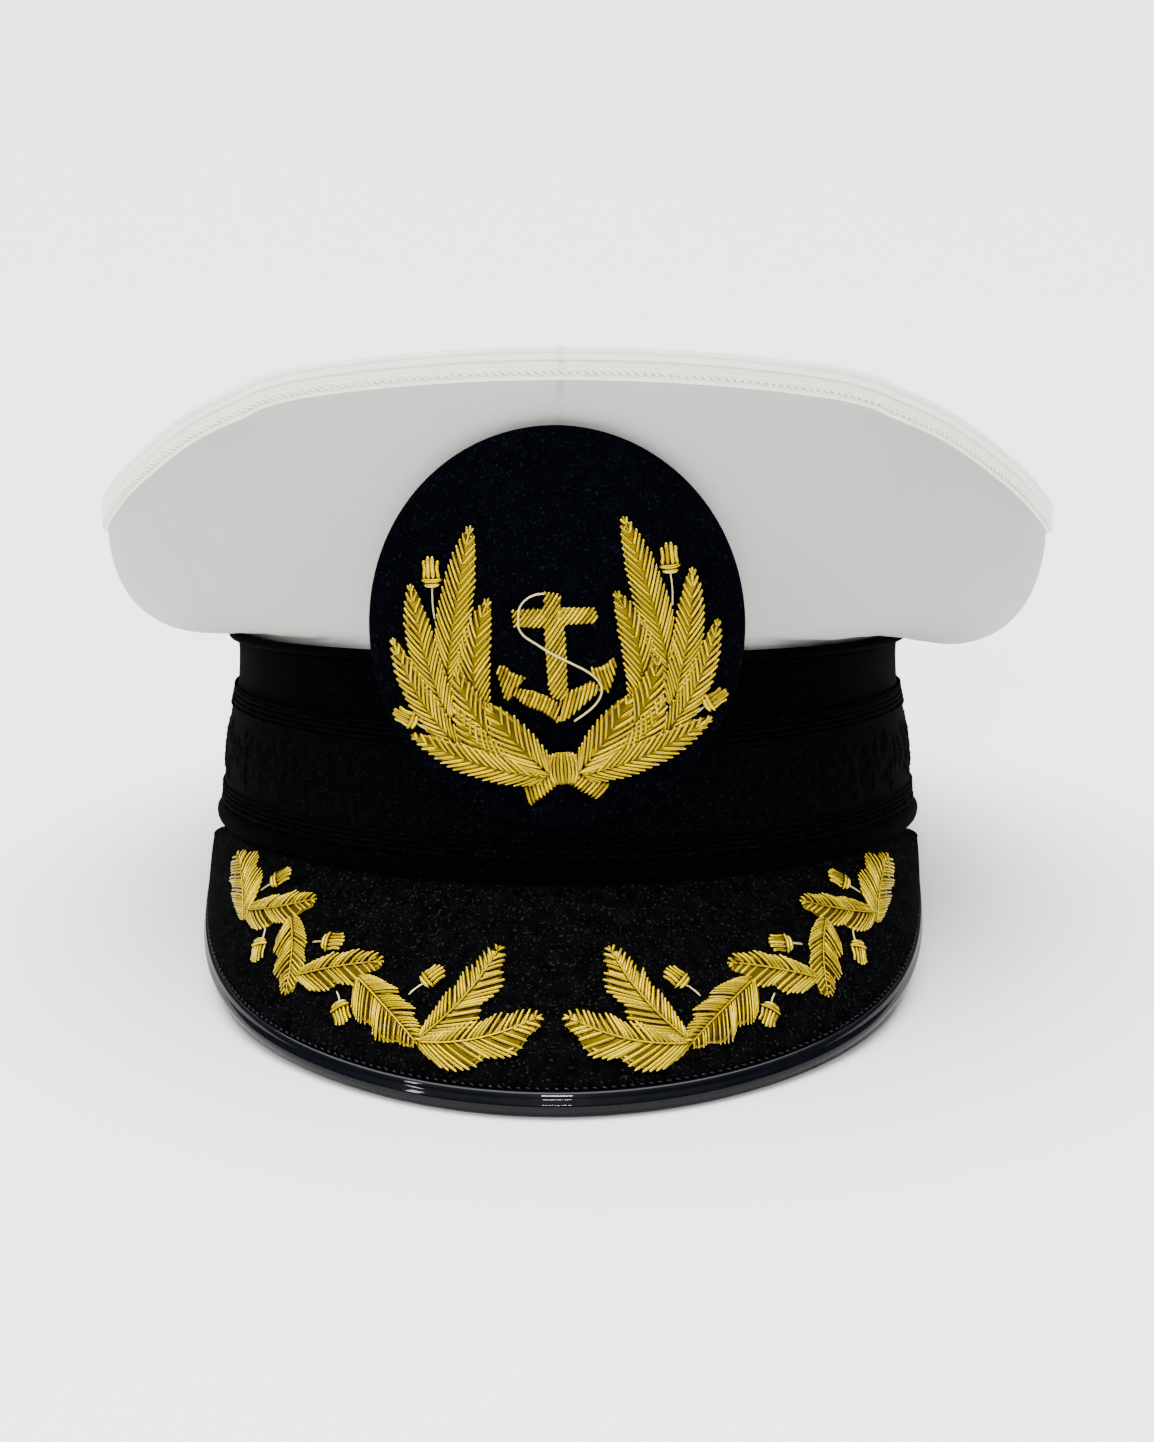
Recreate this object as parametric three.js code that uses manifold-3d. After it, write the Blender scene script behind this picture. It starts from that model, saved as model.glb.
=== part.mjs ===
// A sea captain's peaked cap: a white cover on a wide oval crown, a black cloth band under
// a broad mohair lace, a cloth-covered peak with a bound edge, and gold wire embroidery.
//
// Millimetres, +Z up, the peak towards -Y and the wearer's left towards +X.
// The cap is modelled level, with z = 0 on the lower rim of its band, and is then tipped back
// to the way it rests on a table: on the bound edge of its peak and the back of its rim.

import * as THREE from "three";
import { mergeVertices } from "three/addons/utils/BufferGeometryUtils.js";
import Module from "manifold-3d";

// Head opening and band
const headHalfWidth = 86.2; // inside of the band at the rim
const headHalfLength = 102.6;
const bandWall = 2.6;
const bandHeight = 44.4;
const bandSideTaper = 4; // how far the band draws in by its top, at each side
const bandEndTaper = 2.4; // the same at the front and the back
const rimDip = 4.2; // how far the rim sinks at the front
const rimDipSharpness = 1.5; // high keeps the dip near the front
const rimDipHold = 8; // high carries the dip further up the band
const seatGap = 0.3; // between pieces that lie on each other

// Rolled edges of the band
const topRollRadius = 1.2;
const topRollOut = 0.5; // its middle, out from the outer face of the band
const bottomRollHeight = 5;
const bottomRollDepth = 2.4;

// Mohair lace round the band
const laceWall = 1.4;
const laceWidth = 29;
const laceSwell = 0.5; // how much it bellies at the middle of its width
const laceJoint = 0.6; // slit where its ends meet at the front

// White cover
const coverWall = 1.8;
const coverSag = 1; // how far it may sink between the band's rolled edge and its own bulge
const coverTuck = topRollRadius - topRollOut + seatGap; // its outer face, in from the band's
const crownRise = 69.5; // front of the crown's edge above the top of the band
const crownHalfWidth = 121.6;
const crownShift = 2.4; // how far the crown has slipped to the wearer's left
const crownFrontLength = 117.5;
const crownBackLength = 126;
const crownHollow = 0.42; // height of the middle of the top, as a share of the rise
const pipingRadius = 1.7; // of each of its two rolls, one above the other
const pipingWaist = 0.5; // depth of the groove between them, as a share of a roll's

// Peak
const peakSpread = 75; // half the angle round the band that the peak takes
const peakFelt = 1.2;
const peakBoard = 1.8;
const peakCamber = 2;
const peakRootOut = -0.6; // middle of the peak's root, out from the band's face
const peakHornShare = 0.2; // width that is left at the tip of a horn
const peakHornSharpness = 3.5; // high keeps the full width further round
const bindingRadius = 2.7;
const bindingWidth = 5;

// Badge
const badgeHalfWidth = 43.4;
const badgeHalfHeight = 47.3;
const badgeCentreHeight = 56; // above the rim
const badgeWall = 3;
const badgeFootOut = 0.1; // back of the badge off the lace at its foot
const badgeHeadOut = 0.4; // back of the badge off the cover at its head
const badgeHollow = 2; // how far its middle bends in
const badgeFootBend = 78; // radius of its bend round the cap at the foot
const badgeMiddleBend = 86;
const badgeHeadBend = 112;

// Wire embroidery. Each pad stands on the cloth, low at its edge and high along its middle.
const padEdge = 0.5;
const padRidge = 1.5;
const stalkHalfWidth = 0.5;
const ropeRadius = 0.5;
const motifShift = 1.8; // the wreath's knot from the middle of the badge
const motifFoot = 14.6; // the knot above the badge's lower edge
const motifLean = 3.7; // degrees that the whole motif leans to the wearer's right
const laurelHalfWidth = 5.4;
const anchorHalfWidth = 2.4; // of its shank
const knotHalfWidth = 3.3;
const oakHalfWidth = 6.3;
const budLength = 5.4;
const budHalfWidth = 2.2;
const acornLength = 5.4;
const acornHalfWidth = 2.3;

// The way it rests
const restTilt = 12.35; // degrees, front up

// Fineness
const aroundSteps = 48;
const peakSteps = 30;

// Crown sections, anticlockwise seen from above, from the front (0) by the wearer's left (90).
// rise is the height of the crown's edge as a share of crownRise. The section leaves the band
// and reaches the edge as a curve with two handles: out is a handle's place as a share of the
// overhang, up as a share of that section's own rise. The left of the back hangs lowest.
const crownSections = [
  { angle: 0, rise: 1.0, out1: 0.12, up1: 0.33, out2: 0.55, up2: 0.74 },
  { angle: 30, rise: 0.935, out1: 0.22, up1: 0.25, out2: 0.74, up2: 0.6 },
  { angle: 45, rise: 0.815, out1: 0.3, up1: 0.04, out2: 0.94, up2: 0.34 },
  { angle: 60, rise: 0.635, out1: 0.34, up1: 0.04, out2: 1.02, up2: 0.04 },
  { angle: 75, rise: 0.48, out1: 0.34, up1: -0.14, out2: 1.04, up2: -0.14 },
  { angle: 90, rise: 0.41, out1: 0.32, up1: -0.26, out2: 1.0, up2: -0.24 },
  { angle: 120, rise: 0.365, out1: 0.3, up1: -0.08, out2: 0.98, up2: -0.4 },
  { angle: 150, rise: 0.375, out1: 0.3, up1: 0.0, out2: 0.95, up2: -0.1 },
  { angle: 180, rise: 0.4, out1: 0.3, up1: 0.04, out2: 0.95, up2: 0.05 },
  { angle: 210, rise: 0.375, out1: 0.3, up1: 0.0, out2: 0.95, up2: -0.1 },
  { angle: 240, rise: 0.365, out1: 0.33, up1: -0.06, out2: 0.98, up2: -0.2 },
  { angle: 270, rise: 0.41, out1: 0.34, up1: -0.12, out2: 1.0, up2: -0.04 },
  { angle: 285, rise: 0.48, out1: 0.34, up1: -0.04, out2: 1.04, up2: 0.02 },
  { angle: 300, rise: 0.635, out1: 0.34, up1: 0.06, out2: 1.02, up2: 0.08 },
  { angle: 315, rise: 0.815, out1: 0.3, up1: 0.08, out2: 0.92, up2: 0.36 },
  { angle: 330, rise: 0.935, out1: 0.22, up1: 0.25, out2: 0.74, up2: 0.6 },
];

// How steeply the peak falls below the rim's plane, in degrees, at angles from the front.
const peakSlopes = [
  { angle: 0, slope: 52.3 },
  { angle: 30, slope: 55.6 },
  { angle: 45, slope: 58.1 },
  { angle: 60, slope: 63 },
  { angle: 75, slope: 71.7 },
];

// The wreath, the anchor and the rope stand on the badge, with the knot at 0,0 and its axis up:
// u is a share of the badge's half width and v of its half height. wide is a share of the
// widest half width of that kind of strip, and bend says how far the middle bows to the left,
// as a share of the length. These are the leaves of one half of the wreath, base to tip.
const wreathLeaves = [
  { u1: -0.58, v1: 0.41, u2: -0.39, v2: 1.24, wide: 0.74, bend: 0.02 },
  { u1: -0.39, v1: 0.22, u2: -0.325, v2: 0.87, wide: 0.7, bend: 0.08 },
  { u1: -0.59, v1: 0.37, u2: -0.73, v2: 0.96, wide: 0.66, bend: 0.04 },
  { u1: -0.51, v1: 0.15, u2: -0.84, v2: 0.69, wide: 0.72, bend: 0.07 },
  { u1: -0.12, v1: -0.03, u2: -0.76, v2: 0.2, wide: 0.67, bend: 0.05 },
  { u1: -0.12, v1: 0.02, u2: -0.36, v2: 0.34, wide: 0.76, bend: 0.04 },
  { u1: -0.13, v1: 0.01, u2: -0.51, v2: 0.5, wide: 1, bend: 0.14 },
];

// Buds of one half of the wreath: where the stalk starts and where the tip ends.
const wreathBuds = [
  { name: "upper", u1: -0.63, v1: 0.89, u2: -0.63, v2: 1.09, body: 1 },
  { name: "lower", u1: -0.76, v1: 0.31, u2: -0.88, v2: 0.3, body: 0.86 },
];

// Oak leaves of one half of the peak, from base to tip: u is a share of the peak's spread and
// v of the cloth's depth there.
const oakLeaves = [
  { u1: 0.665, v1: 0.59, u2: 0.81, v2: 0.17, wide: 0.84, bend: 0 },
  { u1: 0.65, v1: 0.49, u2: 0.49, v2: 0.23, wide: 0.76, bend: 0.01 },
  { u1: 0.51, v1: 0.38, u2: 0.465, v2: 0.825, wide: 0.77, bend: 0.08 },
  { u1: 0.43, v1: 0.675, u2: 0.295, v2: 0.48, wide: 0.8, bend: 0.04 },
  { u1: 0.32, v1: 0.61, u2: 0.207, v2: 0.855, wide: 0.95, bend: 0.06 },
  { u1: 0.186, v1: 0.775, u2: 0.1, v2: 0.335, wide: 0.94, bend: -0.03 },
  { u1: 0.196, v1: 0.854, u2: 0.02, v2: 0.675, wide: 1, bend: -0.06 },
];

// Acorns of one half of the peak: start of the stalk and tip of the acorn.
const acorns = [
  { u1: 0.66, v1: 0.33, u2: 0.595, v2: 0.095 },
  { u1: 0.58, v1: 0.53, u2: 0.562, v2: 0.75 },
  { u1: 0.444, v1: 0.475, u2: 0.38, v2: 0.42 },
  { u1: 0.36, v1: 0.7, u2: 0.328, v2: 0.86 },
  { u1: 0.228, v1: 0.61, u2: 0.19, v2: 0.465 },
];

// Widths along a laurel leaf and an oak leaf, and along a bud or an acorn on its stalk.
// at is a share of the length and wide a share of the half width.
const laurelOutline = [
  { at: 0, wide: 0.4 },
  { at: 0.2, wide: 0.85 },
  { at: 0.5, wide: 1 },
  { at: 0.8, wide: 0.68 },
  { at: 1, wide: 0.12 },
];
const oakOutline = [
  { at: 0, wide: 0.14 },
  { at: 0.16, wide: 0.62 },
  { at: 0.28, wide: 0.5 },
  { at: 0.44, wide: 1 },
  { at: 0.58, wide: 0.72 },
  { at: 0.76, wide: 0.86 },
  { at: 1, wide: 0.1 },
];
const nutOutline = [
  { at: 0, wide: 0.6 },
  { at: 0.1, wide: 0.95 },
  { at: 0.38, wide: 1 },
  { at: 0.44, wide: 0.82 },
  { at: 0.75, wide: 0.7 },
  { at: 1, wide: 0.16 },
];

// The anchor's shank, stock and arms: centre lines and half widths.
const anchorStrips = [
  [
    { u: 0, v: 0.88, wide: 0.67 },
    { u: 0, v: 0.84, wide: 1 },
    { u: 0, v: 0.25, wide: 1 },
  ],
  [
    { u: -0.22, v: 0.75, wide: 0.71 },
    { u: -0.2, v: 0.75, wide: 0.96 },
    { u: -0.07, v: 0.74, wide: 0.96 },
    { u: 0.07, v: 0.74, wide: 0.96 },
    { u: 0.2, v: 0.74, wide: 0.96 },
    { u: 0.22, v: 0.74, wide: 0.71 },
  ],
  [
    { u: -0.28, v: 0.52, wide: 0.12 },
    { u: -0.24, v: 0.43, wide: 1.42 },
    { u: -0.17, v: 0.34, wide: 0.92 },
    { u: 0, v: 0.26, wide: 0.88 },
    { u: 0.17, v: 0.34, wide: 0.92 },
    { u: 0.24, v: 0.43, wide: 1.42 },
    { u: 0.29, v: 0.52, wide: 0.12 },
  ],
];

// The rope wound round the anchor, as it lies in front of it.
const anchorRope = [
  { u: -0.06, v: 0.87 },
  { u: -0.12, v: 0.87 },
  { u: -0.17, v: 0.82 },
  { u: -0.18, v: 0.76 },
  { u: -0.17, v: 0.68 },
  { u: -0.11, v: 0.62 },
  { u: -0.01, v: 0.56 },
  { u: 0.08, v: 0.52 },
  { u: 0.17, v: 0.46 },
  { u: 0.22, v: 0.39 },
  { u: 0.22, v: 0.33 },
  { u: 0.17, v: 0.28 },
  { u: 0.08, v: 0.23 },
];

// The knot: its barrel and its two tails.
const knotStrips = [
  [
    { u: 0, v: 0.08, wide: 0.73 },
    { u: 0, v: 0.03, wide: 1 },
    { u: 0, v: -0.03, wide: 1 },
    { u: 0, v: -0.08, wide: 0.73 },
  ],
  [
    { u: -0.03, v: -0.06, wide: 0.36 },
    { u: -0.12, v: -0.11, wide: 0.46 },
    { u: -0.23, v: -0.15, wide: 0.58 },
  ],
  [
    { u: 0.03, v: -0.06, wide: 0.36 },
    { u: 0.12, v: -0.11, wide: 0.46 },
    { u: 0.23, v: -0.15, wide: 0.58 },
  ],
];

const wasm = await Module();
wasm.setup();

const radians = THREE.MathUtils.degToRad;
const cap = new THREE.Group();

// Solids from rows of sections

// A closed solid through sections with the same even number of points. The sections go all the
// way round when closed is true, and otherwise each end is capped like a ladder between halves.
// The two skins of a wall are cut along the same diagonals, so walls can lie close together.
function loft(sections, closed) {
  const size = sections[0].length;
  const positions = sections.flat().flatMap((p) => [p.x, p.y, p.z]);
  const index = [];
  const last = closed ? sections.length : sections.length - 1;
  for (let row = 0; row < last; row++) {
    const here = row * size;
    const next = ((row + 1) % sections.length) * size;
    for (let i = 0; i < size; i++) {
      const j = (i + 1) % size;
      const [a, b, c, d] = [here + i, here + j, next + j, next + i];
      index.push(...(i < size / 2 ? [a, b, c, a, c, d] : [a, b, d, b, c, d]));
    }
  }
  if (!closed) {
    const end = (sections.length - 1) * size;
    for (let i = 0; i < size / 2 - 1; i++) {
      const across = size - 1 - i;
      index.push(i, across, i + 1, i + 1, across, across - 1);
      index.push(end + i, end + i + 1, end + across);
      index.push(end + i + 1, end + across - 1, end + across);
    }
  }
  return outward(positions, index);
}

// A lid: rings of points from the rim to one middle point, for its upper and its lower face.
function lid(upperRings, upperMiddle, lowerRings, lowerMiddle) {
  const size = upperRings[0].length;
  const rings = [...upperRings, ...lowerRings];
  const points = [...rings.flat(), upperMiddle, lowerMiddle];
  const index = [];
  const stitch = (a, b) => {
    for (let i = 0; i < size; i++) {
      const j = (i + 1) % size;
      index.push(a + i, a + j, b + j, a + i, b + j, b + i);
    }
  };
  const close = (ring, middle, turn) => {
    for (let i = 0; i < size; i++) {
      const j = (i + 1) % size;
      index.push(...(turn ? [ring + j, ring + i, middle] : [ring + i, ring + j, middle]));
    }
  };
  const depth = upperRings.length;
  for (let k = 0; k < depth - 1; k++) {
    stitch(k * size, (k + 1) * size);
    stitch((depth + k + 1) * size, (depth + k) * size);
  }
  stitch(depth * size, 0);
  close((depth - 1) * size, rings.length * size, false);
  close((2 * depth - 1) * size, rings.length * size + 1, true);
  return outward(points.flatMap((p) => [p.x, p.y, p.z]), index);
}

// Turns the faces outwards if they face in.
function outward(positions, index) {
  let volume = 0;
  const corner = (i) => new THREE.Vector3().fromArray(positions, 3 * i);
  for (let i = 0; i < index.length; i += 3) {
    const [a, b, c] = [corner(index[i]), corner(index[i + 1]), corner(index[i + 2])];
    volume += a.dot(b.cross(c));
  }
  if (volume < 0) index.reverse();
  const geometry = new THREE.BufferGeometry();
  geometry.setAttribute("position", new THREE.Float32BufferAttribute(positions, 3));
  geometry.setIndex(index);
  geometry.computeVertexNormals();
  return geometry;
}

function add(name, geometry, material) {
  const mesh = new THREE.Mesh(geometry, material);
  mesh.name = name;
  cap.add(mesh);
  return mesh;
}

// Smooth values from a table

// The value of a column at an angle, on a smooth curve through the rows. Where the table goes
// once round, its ends meet; otherwise its first row is mirrored and its last one is held.
function columnAt(table, column, angle, round) {
  const count = table.length;
  const at = round ? ((angle % 360) + 360) % 360 : Math.abs(angle);
  let k = table.findLastIndex((row) => row.angle <= at);
  if (!round) k = Math.min(k, count - 2);
  const rowAt = (i) => {
    if (round) return { row: table[(i + count) % count], turn: 360 * Math.floor(i / count) };
    if (i < 0) return { row: { ...table[1], angle: -table[1].angle }, turn: 0 };
    return { row: table[Math.min(i, count - 1)], turn: 0 };
  };
  const [a, b, c, d] = [k - 1, k, k + 1, k + 2].map((i) => {
    const { row, turn } = rowAt(i);
    return { angle: row.angle + turn, value: row[column] };
  });
  const slopeAt = (p, q) => (q.value - p.value) / Math.max(q.angle - p.angle, 1);
  const span = c.angle - b.angle;
  const t = (at - b.angle) / span;
  const startSlope = slopeAt(a, c) * span;
  const endSlope = slopeAt(b, d) * span;
  const t2 = t * t;
  const t3 = t2 * t;
  return (
    b.value * (2 * t3 - 3 * t2 + 1) +
    startSlope * (t3 - 2 * t2 + t) +
    c.value * (3 * t2 - 2 * t3) +
    endSlope * (t3 - t2)
  );
}

// Plan curves

// A point of an oval seen from above. Angle 0 is the front, 90 the wearer's left.
function oval(halfWidth, frontLength, backLength, angle) {
  const a = radians(angle);
  const length = Math.cos(a) >= 0 ? frontLength : backLength;
  return new THREE.Vector2(halfWidth * Math.sin(a), -length * Math.cos(a));
}

// The band's outer face drawn in as it rises, moved out by an offset.
function bandPlan(angle, height, offset) {
  const share = height / bandHeight;
  const halfWidth = headHalfWidth + bandWall - bandSideTaper * share + offset;
  const halfLength = headHalfLength + bandWall - bandEndTaper * share + offset;
  return oval(halfWidth, halfLength, halfLength, angle);
}

// The rim dips at the front, and the band is stretched between it and the level top.
function bandDip(angle, height) {
  const front = Math.max(Math.cos(radians(angle)), 0) ** rimDipSharpness;
  return rimDip * front * (1 - (height / bandHeight) ** rimDipHold);
}

function bandPoint(angle, height, offset) {
  const plan = bandPlan(angle, height, offset);
  return new THREE.Vector3(plan.x, plan.y, height - bandDip(angle, height));
}

// Which way the band faces, seen from above.
function bandFacing(angle) {
  const a = radians(angle);
  const halfWidth = headHalfWidth + bandWall;
  const halfLength = headHalfLength + bandWall;
  return new THREE.Vector2(Math.sin(a) / halfWidth, -Math.cos(a) / halfLength).normalize();
}

const aroundAngles = Array.from({ length: aroundSteps }, (_, i) => (360 * i) / aroundSteps);

// Band, its rolled edges and its lace

const bandTopHeight = bandHeight;
const rollCentreHeight = bandHeight + seatGap + topRollRadius;

function bandGeometry() {
  return loft(
    aroundAngles.map((angle) => [
      bandPoint(angle, 0, 0),
      bandPoint(angle, bandTopHeight, 0),
      bandPoint(angle, bandTopHeight, -bandWall),
      bandPoint(angle, 0, -bandWall),
    ]),
    true,
  );
}

function topRollGeometry() {
  const sides = 5;
  return loft(
    aroundAngles.map((angle) =>
      Array.from({ length: sides }, (_, i) => {
        const turn = (2 * Math.PI * i) / sides;
        const out = topRollOut + topRollRadius * Math.cos(turn);
        const point = bandPoint(angle, bandTopHeight, out);
        point.z = rollCentreHeight + topRollRadius * Math.sin(turn);
        return point;
      }),
    ),
    true,
  );
}

function bottomRollGeometry() {
  const points = 5;
  return loft(
    aroundAngles.map((angle) =>
      Array.from({ length: points }, (_, i) => {
        const turn = Math.PI * (i / (points - 1) - 0.5);
        const height = (bottomRollHeight / 2) * (1 + Math.sin(turn));
        return bandPoint(angle, height, seatGap + bottomRollDepth * Math.cos(turn));
      }),
    ),
    true,
  );
}

// Outer face of the lace, a little proud of the rolled edge that it laps.
function laceOut(share) {
  return seatGap + laceWall + laceSwell * Math.sin(Math.PI * share);
}

function laceGeometry() {
  const slit = THREE.MathUtils.radToDeg(laceJoint / 2) / (headHalfWidth + bandWall);
  const heightAt = (share) => bottomRollHeight + seatGap + laceWidth * share;
  const sections = Array.from({ length: aroundSteps + 1 }, (_, i) => {
    const angle = slit + ((360 - 2 * slit) * i) / aroundSteps;
    return [
      bandPoint(angle, heightAt(0), laceOut(0)),
      bandPoint(angle, heightAt(0.5), laceOut(0.5)),
      bandPoint(angle, heightAt(1), laceOut(1)),
      bandPoint(angle, heightAt(1), seatGap),
      bandPoint(angle, heightAt(0.5), seatGap),
      bandPoint(angle, heightAt(0), seatGap),
    ];
  });
  return loft(sections, false);
}

// White cover: its side wall, its top and the piping between them

const coverFootHeight = rollCentreHeight + topRollRadius + seatGap + coverSag;

// The crown's edge seen from above, and which way it faces.
function crownEdge(angle) {
  const edge = oval(crownHalfWidth, crownFrontLength, crownBackLength, angle);
  edge.x += crownShift;
  return edge;
}

function crownFacing(angle) {
  const ahead = crownEdge(angle + 1).sub(crownEdge(angle - 1));
  return new THREE.Vector3(ahead.y, -ahead.x, 0).normalize();
}

// Outer face of the cover's wall at an angle. share 0 is at the band and 1 at the edge, and
// inset moves the point into the wall.
function coverPoint(angle, share, inset) {
  const value = (column) => columnAt(crownSections, column, angle, true);
  const foot = bandPlan(angle, bandTopHeight, -coverTuck);
  const edge = crownEdge(angle);
  const overhang = foot.distanceTo(edge);
  const rise = crownRise * value("rise");
  const curve = new THREE.CubicBezierCurve(
    new THREE.Vector2(0, 0),
    new THREE.Vector2(overhang * value("out1"), rise * value("up1")),
    new THREE.Vector2(overhang * value("out2"), rise * value("up2")),
    new THREE.Vector2(overhang, rise),
  );
  const place = curve.getPoint(share);
  const along = curve.getTangent(share);
  place.x -= inset * along.y;
  place.y += inset * along.x;
  const plan = foot.clone().lerp(edge, place.x / overhang);
  return new THREE.Vector3(plan.x, plan.y, coverFootHeight + place.y);
}

const coverShares = [0, 0.15, 0.32, 0.49, 0.66, 0.83, 1];

// The wall stops short of the piping, which sits on its upper edge.
function coverTopShare(angle) {
  const rise = crownRise * columnAt(crownSections, "rise", angle, true);
  const lastHandle = 1 - columnAt(crownSections, "up2", angle, true);
  return 1 - (2 * pipingRadius + 2 * seatGap) / (3 * rise * lastHandle);
}

function coverSideGeometry() {
  return loft(
    aroundAngles.map((angle) => {
      const foot = bandPlan(angle, bandTopHeight, -coverTuck);
      const inner = bandPlan(angle, bandTopHeight, -coverTuck - coverWall);
      const tuckHeight = bandTopHeight + seatGap;
      const shares = coverShares.map((share) => share * coverTopShare(angle));
      return [
        new THREE.Vector3(foot.x, foot.y, tuckHeight),
        ...shares.map((share) => coverPoint(angle, share, 0)),
        ...shares.toReversed().map((share) => coverPoint(angle, share, coverWall)),
        new THREE.Vector3(inner.x, inner.y, tuckHeight),
      ];
    }),
    true,
  );
}

// Middle of the piping at an angle.
function edgePoint(angle) {
  const plan = crownEdge(angle);
  const rise = crownRise * columnAt(crownSections, "rise", angle, true);
  return new THREE.Vector3(plan.x, plan.y, coverFootHeight + rise);
}

// Two rolls and the groove between them, followed from the top down the outer side and back.
function pipingGeometry() {
  const side = [
    { out: 0.5, up: 2 },
    { out: 1, up: 1.1 },
    { out: pipingWaist, up: 0 },
    { out: 1, up: -1.1 },
    { out: 0.5, up: -2 },
  ];
  const outline = [...side, ...side.toReversed().map(({ out, up }) => ({ out: -out, up }))];
  return loft(
    aroundAngles.map((angle) => {
      const middle = edgePoint(angle);
      const outwards = crownFacing(angle);
      return outline.map(({ out, up }) => {
        const point = middle.clone().addScaledVector(outwards, out * pipingRadius);
        point.z += up * pipingRadius;
        return point;
      });
    }),
    true,
  );
}

// The top is a skin stretched from the piping: a saddle, high in front and low at the sides.
function coverTopGeometry() {
  const ringShares = [1, 0.86, 0.5];
  const middleHeight = coverFootHeight + crownRise * crownHollow;
  const rimInset = pipingRadius + seatGap;
  const ring = (share, drop) =>
    aroundAngles.map((angle) => {
      const edge = edgePoint(angle).addScaledVector(crownFacing(angle), -rimInset);
      const point = edge.clone().multiplyScalar(share);
      const height = edge.z + pipingRadius;
      point.z = middleHeight + (height - middleHeight) * share ** 1.6 - drop;
      return point;
    });
  return lid(
    ringShares.map((share) => ring(share, 0)),
    new THREE.Vector3(0, 0, middleHeight),
    ringShares.map((share) => ring(share, coverWall)),
    new THREE.Vector3(0, 0, middleHeight - coverWall),
  );
}

// The table that the cap rests on, in the level cap's own frame

const tilt = radians(restTilt);
const rimBack = headHalfLength + bandWall + seatGap;
const floorUp = new THREE.Vector3(0, -Math.sin(tilt), Math.cos(tilt));

// Peak

const peakFace = peakBoard / 2 + seatGap + peakFelt; // top of the cloth above the board's middle

// How far the peak reaches from its root at an angle before its bound edge meets the table.
function peakReach(angle) {
  const slope = peakSlope(angle);
  const facing = bandFacing(angle);
  const root = peakRoot(angle);
  const tall = Math.hypot(floorUp.y * facing.y, floorUp.z) * bindingRadius;
  const above = root.dot(floorUp) + rimBack * Math.sin(tilt) - tall;
  const fall = Math.sin(slope) * floorUp.z - facing.y * Math.cos(slope) * floorUp.y;
  const full = above / fall;
  const horn = (Math.abs(angle) / peakSpread) ** peakHornSharpness;
  return full * Math.max(Math.sqrt(Math.max(1 - horn, 0)), peakHornShare);
}

function peakSlope(angle) {
  return radians(columnAt(peakSlopes, "slope", angle, false));
}

// The middle of the board at its root, with the cloth's upper corner just below the rim.
function peakRoot(angle) {
  const root = bandPoint(angle, 0, peakRootOut);
  root.z -= seatGap + peakFace * Math.cos(peakSlope(angle));
  return root;
}

// A point on the peak. share runs from the root to the middle of the bound edge, and lift is
// the height above the middle of the board's thickness, square to the peak.
function peakPoint(angle, share, lift) {
  const slope = peakSlope(angle);
  const facing = bandFacing(angle);
  const reach = peakReach(angle);
  const out = new THREE.Vector3(facing.x, facing.y, 0);
  const along = out.clone().multiplyScalar(Math.cos(slope));
  along.z = -Math.sin(slope);
  const square = out.clone().multiplyScalar(Math.sin(slope));
  square.z = Math.cos(slope);
  const camber = peakCamber * 4 * share * (1 - share);
  return peakRoot(angle)
    .addScaledVector(along, reach * share)
    .addScaledVector(square, lift + camber);
}

// Sections crowd together towards the horns, where the edge turns up to the band.
const hornCrowding = 0.6;
const peakAngles = Array.from({ length: peakSteps + 1 }, (_, i) => {
  const share = (2 * i) / peakSteps - 1;
  const crowded = Math.sin((Math.PI / 2) * share);
  return peakSpread * (share + (crowded - share) * hornCrowding);
});

// Where the cloth and the board end, just inside the binding.
function peakClothEnd(angle) {
  return 1 - (bindingWidth - bindingRadius + seatGap) / peakReach(angle);
}

function peakLayer(low, high) {
  const shares = [0, 0.34, 0.67, 1];
  return loft(
    peakAngles.map((angle) => {
      const end = peakClothEnd(angle);
      return [
        ...shares.map((share) => peakPoint(angle, share * end, high)),
        ...shares.toReversed().map((share) => peakPoint(angle, share * end, low)),
      ];
    }),
    false,
  );
}

// The binding is a strip folded over the edge: flat-sided, and round where it turns. One of
// its corners is always the lowest of the round, so that it lies on the table.
function bindingGeometry() {
  return loft(
    peakAngles.map((angle) => {
      const reach = peakReach(angle);
      const back = 1 - (bindingWidth - bindingRadius) / reach;
      const edge = peakPoint(angle, 1, 0);
      const slope = peakSlope(angle);
      const facing = bandFacing(angle);
      const down = Math.atan2(-floorUp.z, -floorUp.y * facing.y);
      const above = Math.PI / 2 - slope;
      const corner = (turn) =>
        edge
          .clone()
          .add(
            new THREE.Vector3(
              facing.x * Math.cos(turn),
              facing.y * Math.cos(turn),
              Math.sin(turn),
            ).multiplyScalar(bindingRadius),
          );
      const below = above - Math.PI;
      const rounding = [above, above + (down - above) / 3, above + ((down - above) * 2) / 3];
      return [
        peakPoint(angle, back, bindingRadius),
        ...rounding.map(corner),
        corner(down),
        corner((down + below) / 2),
        corner(below),
        peakPoint(angle, back, -bindingRadius),
      ];
    }),
    false,
  );
}

// Badge

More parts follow.
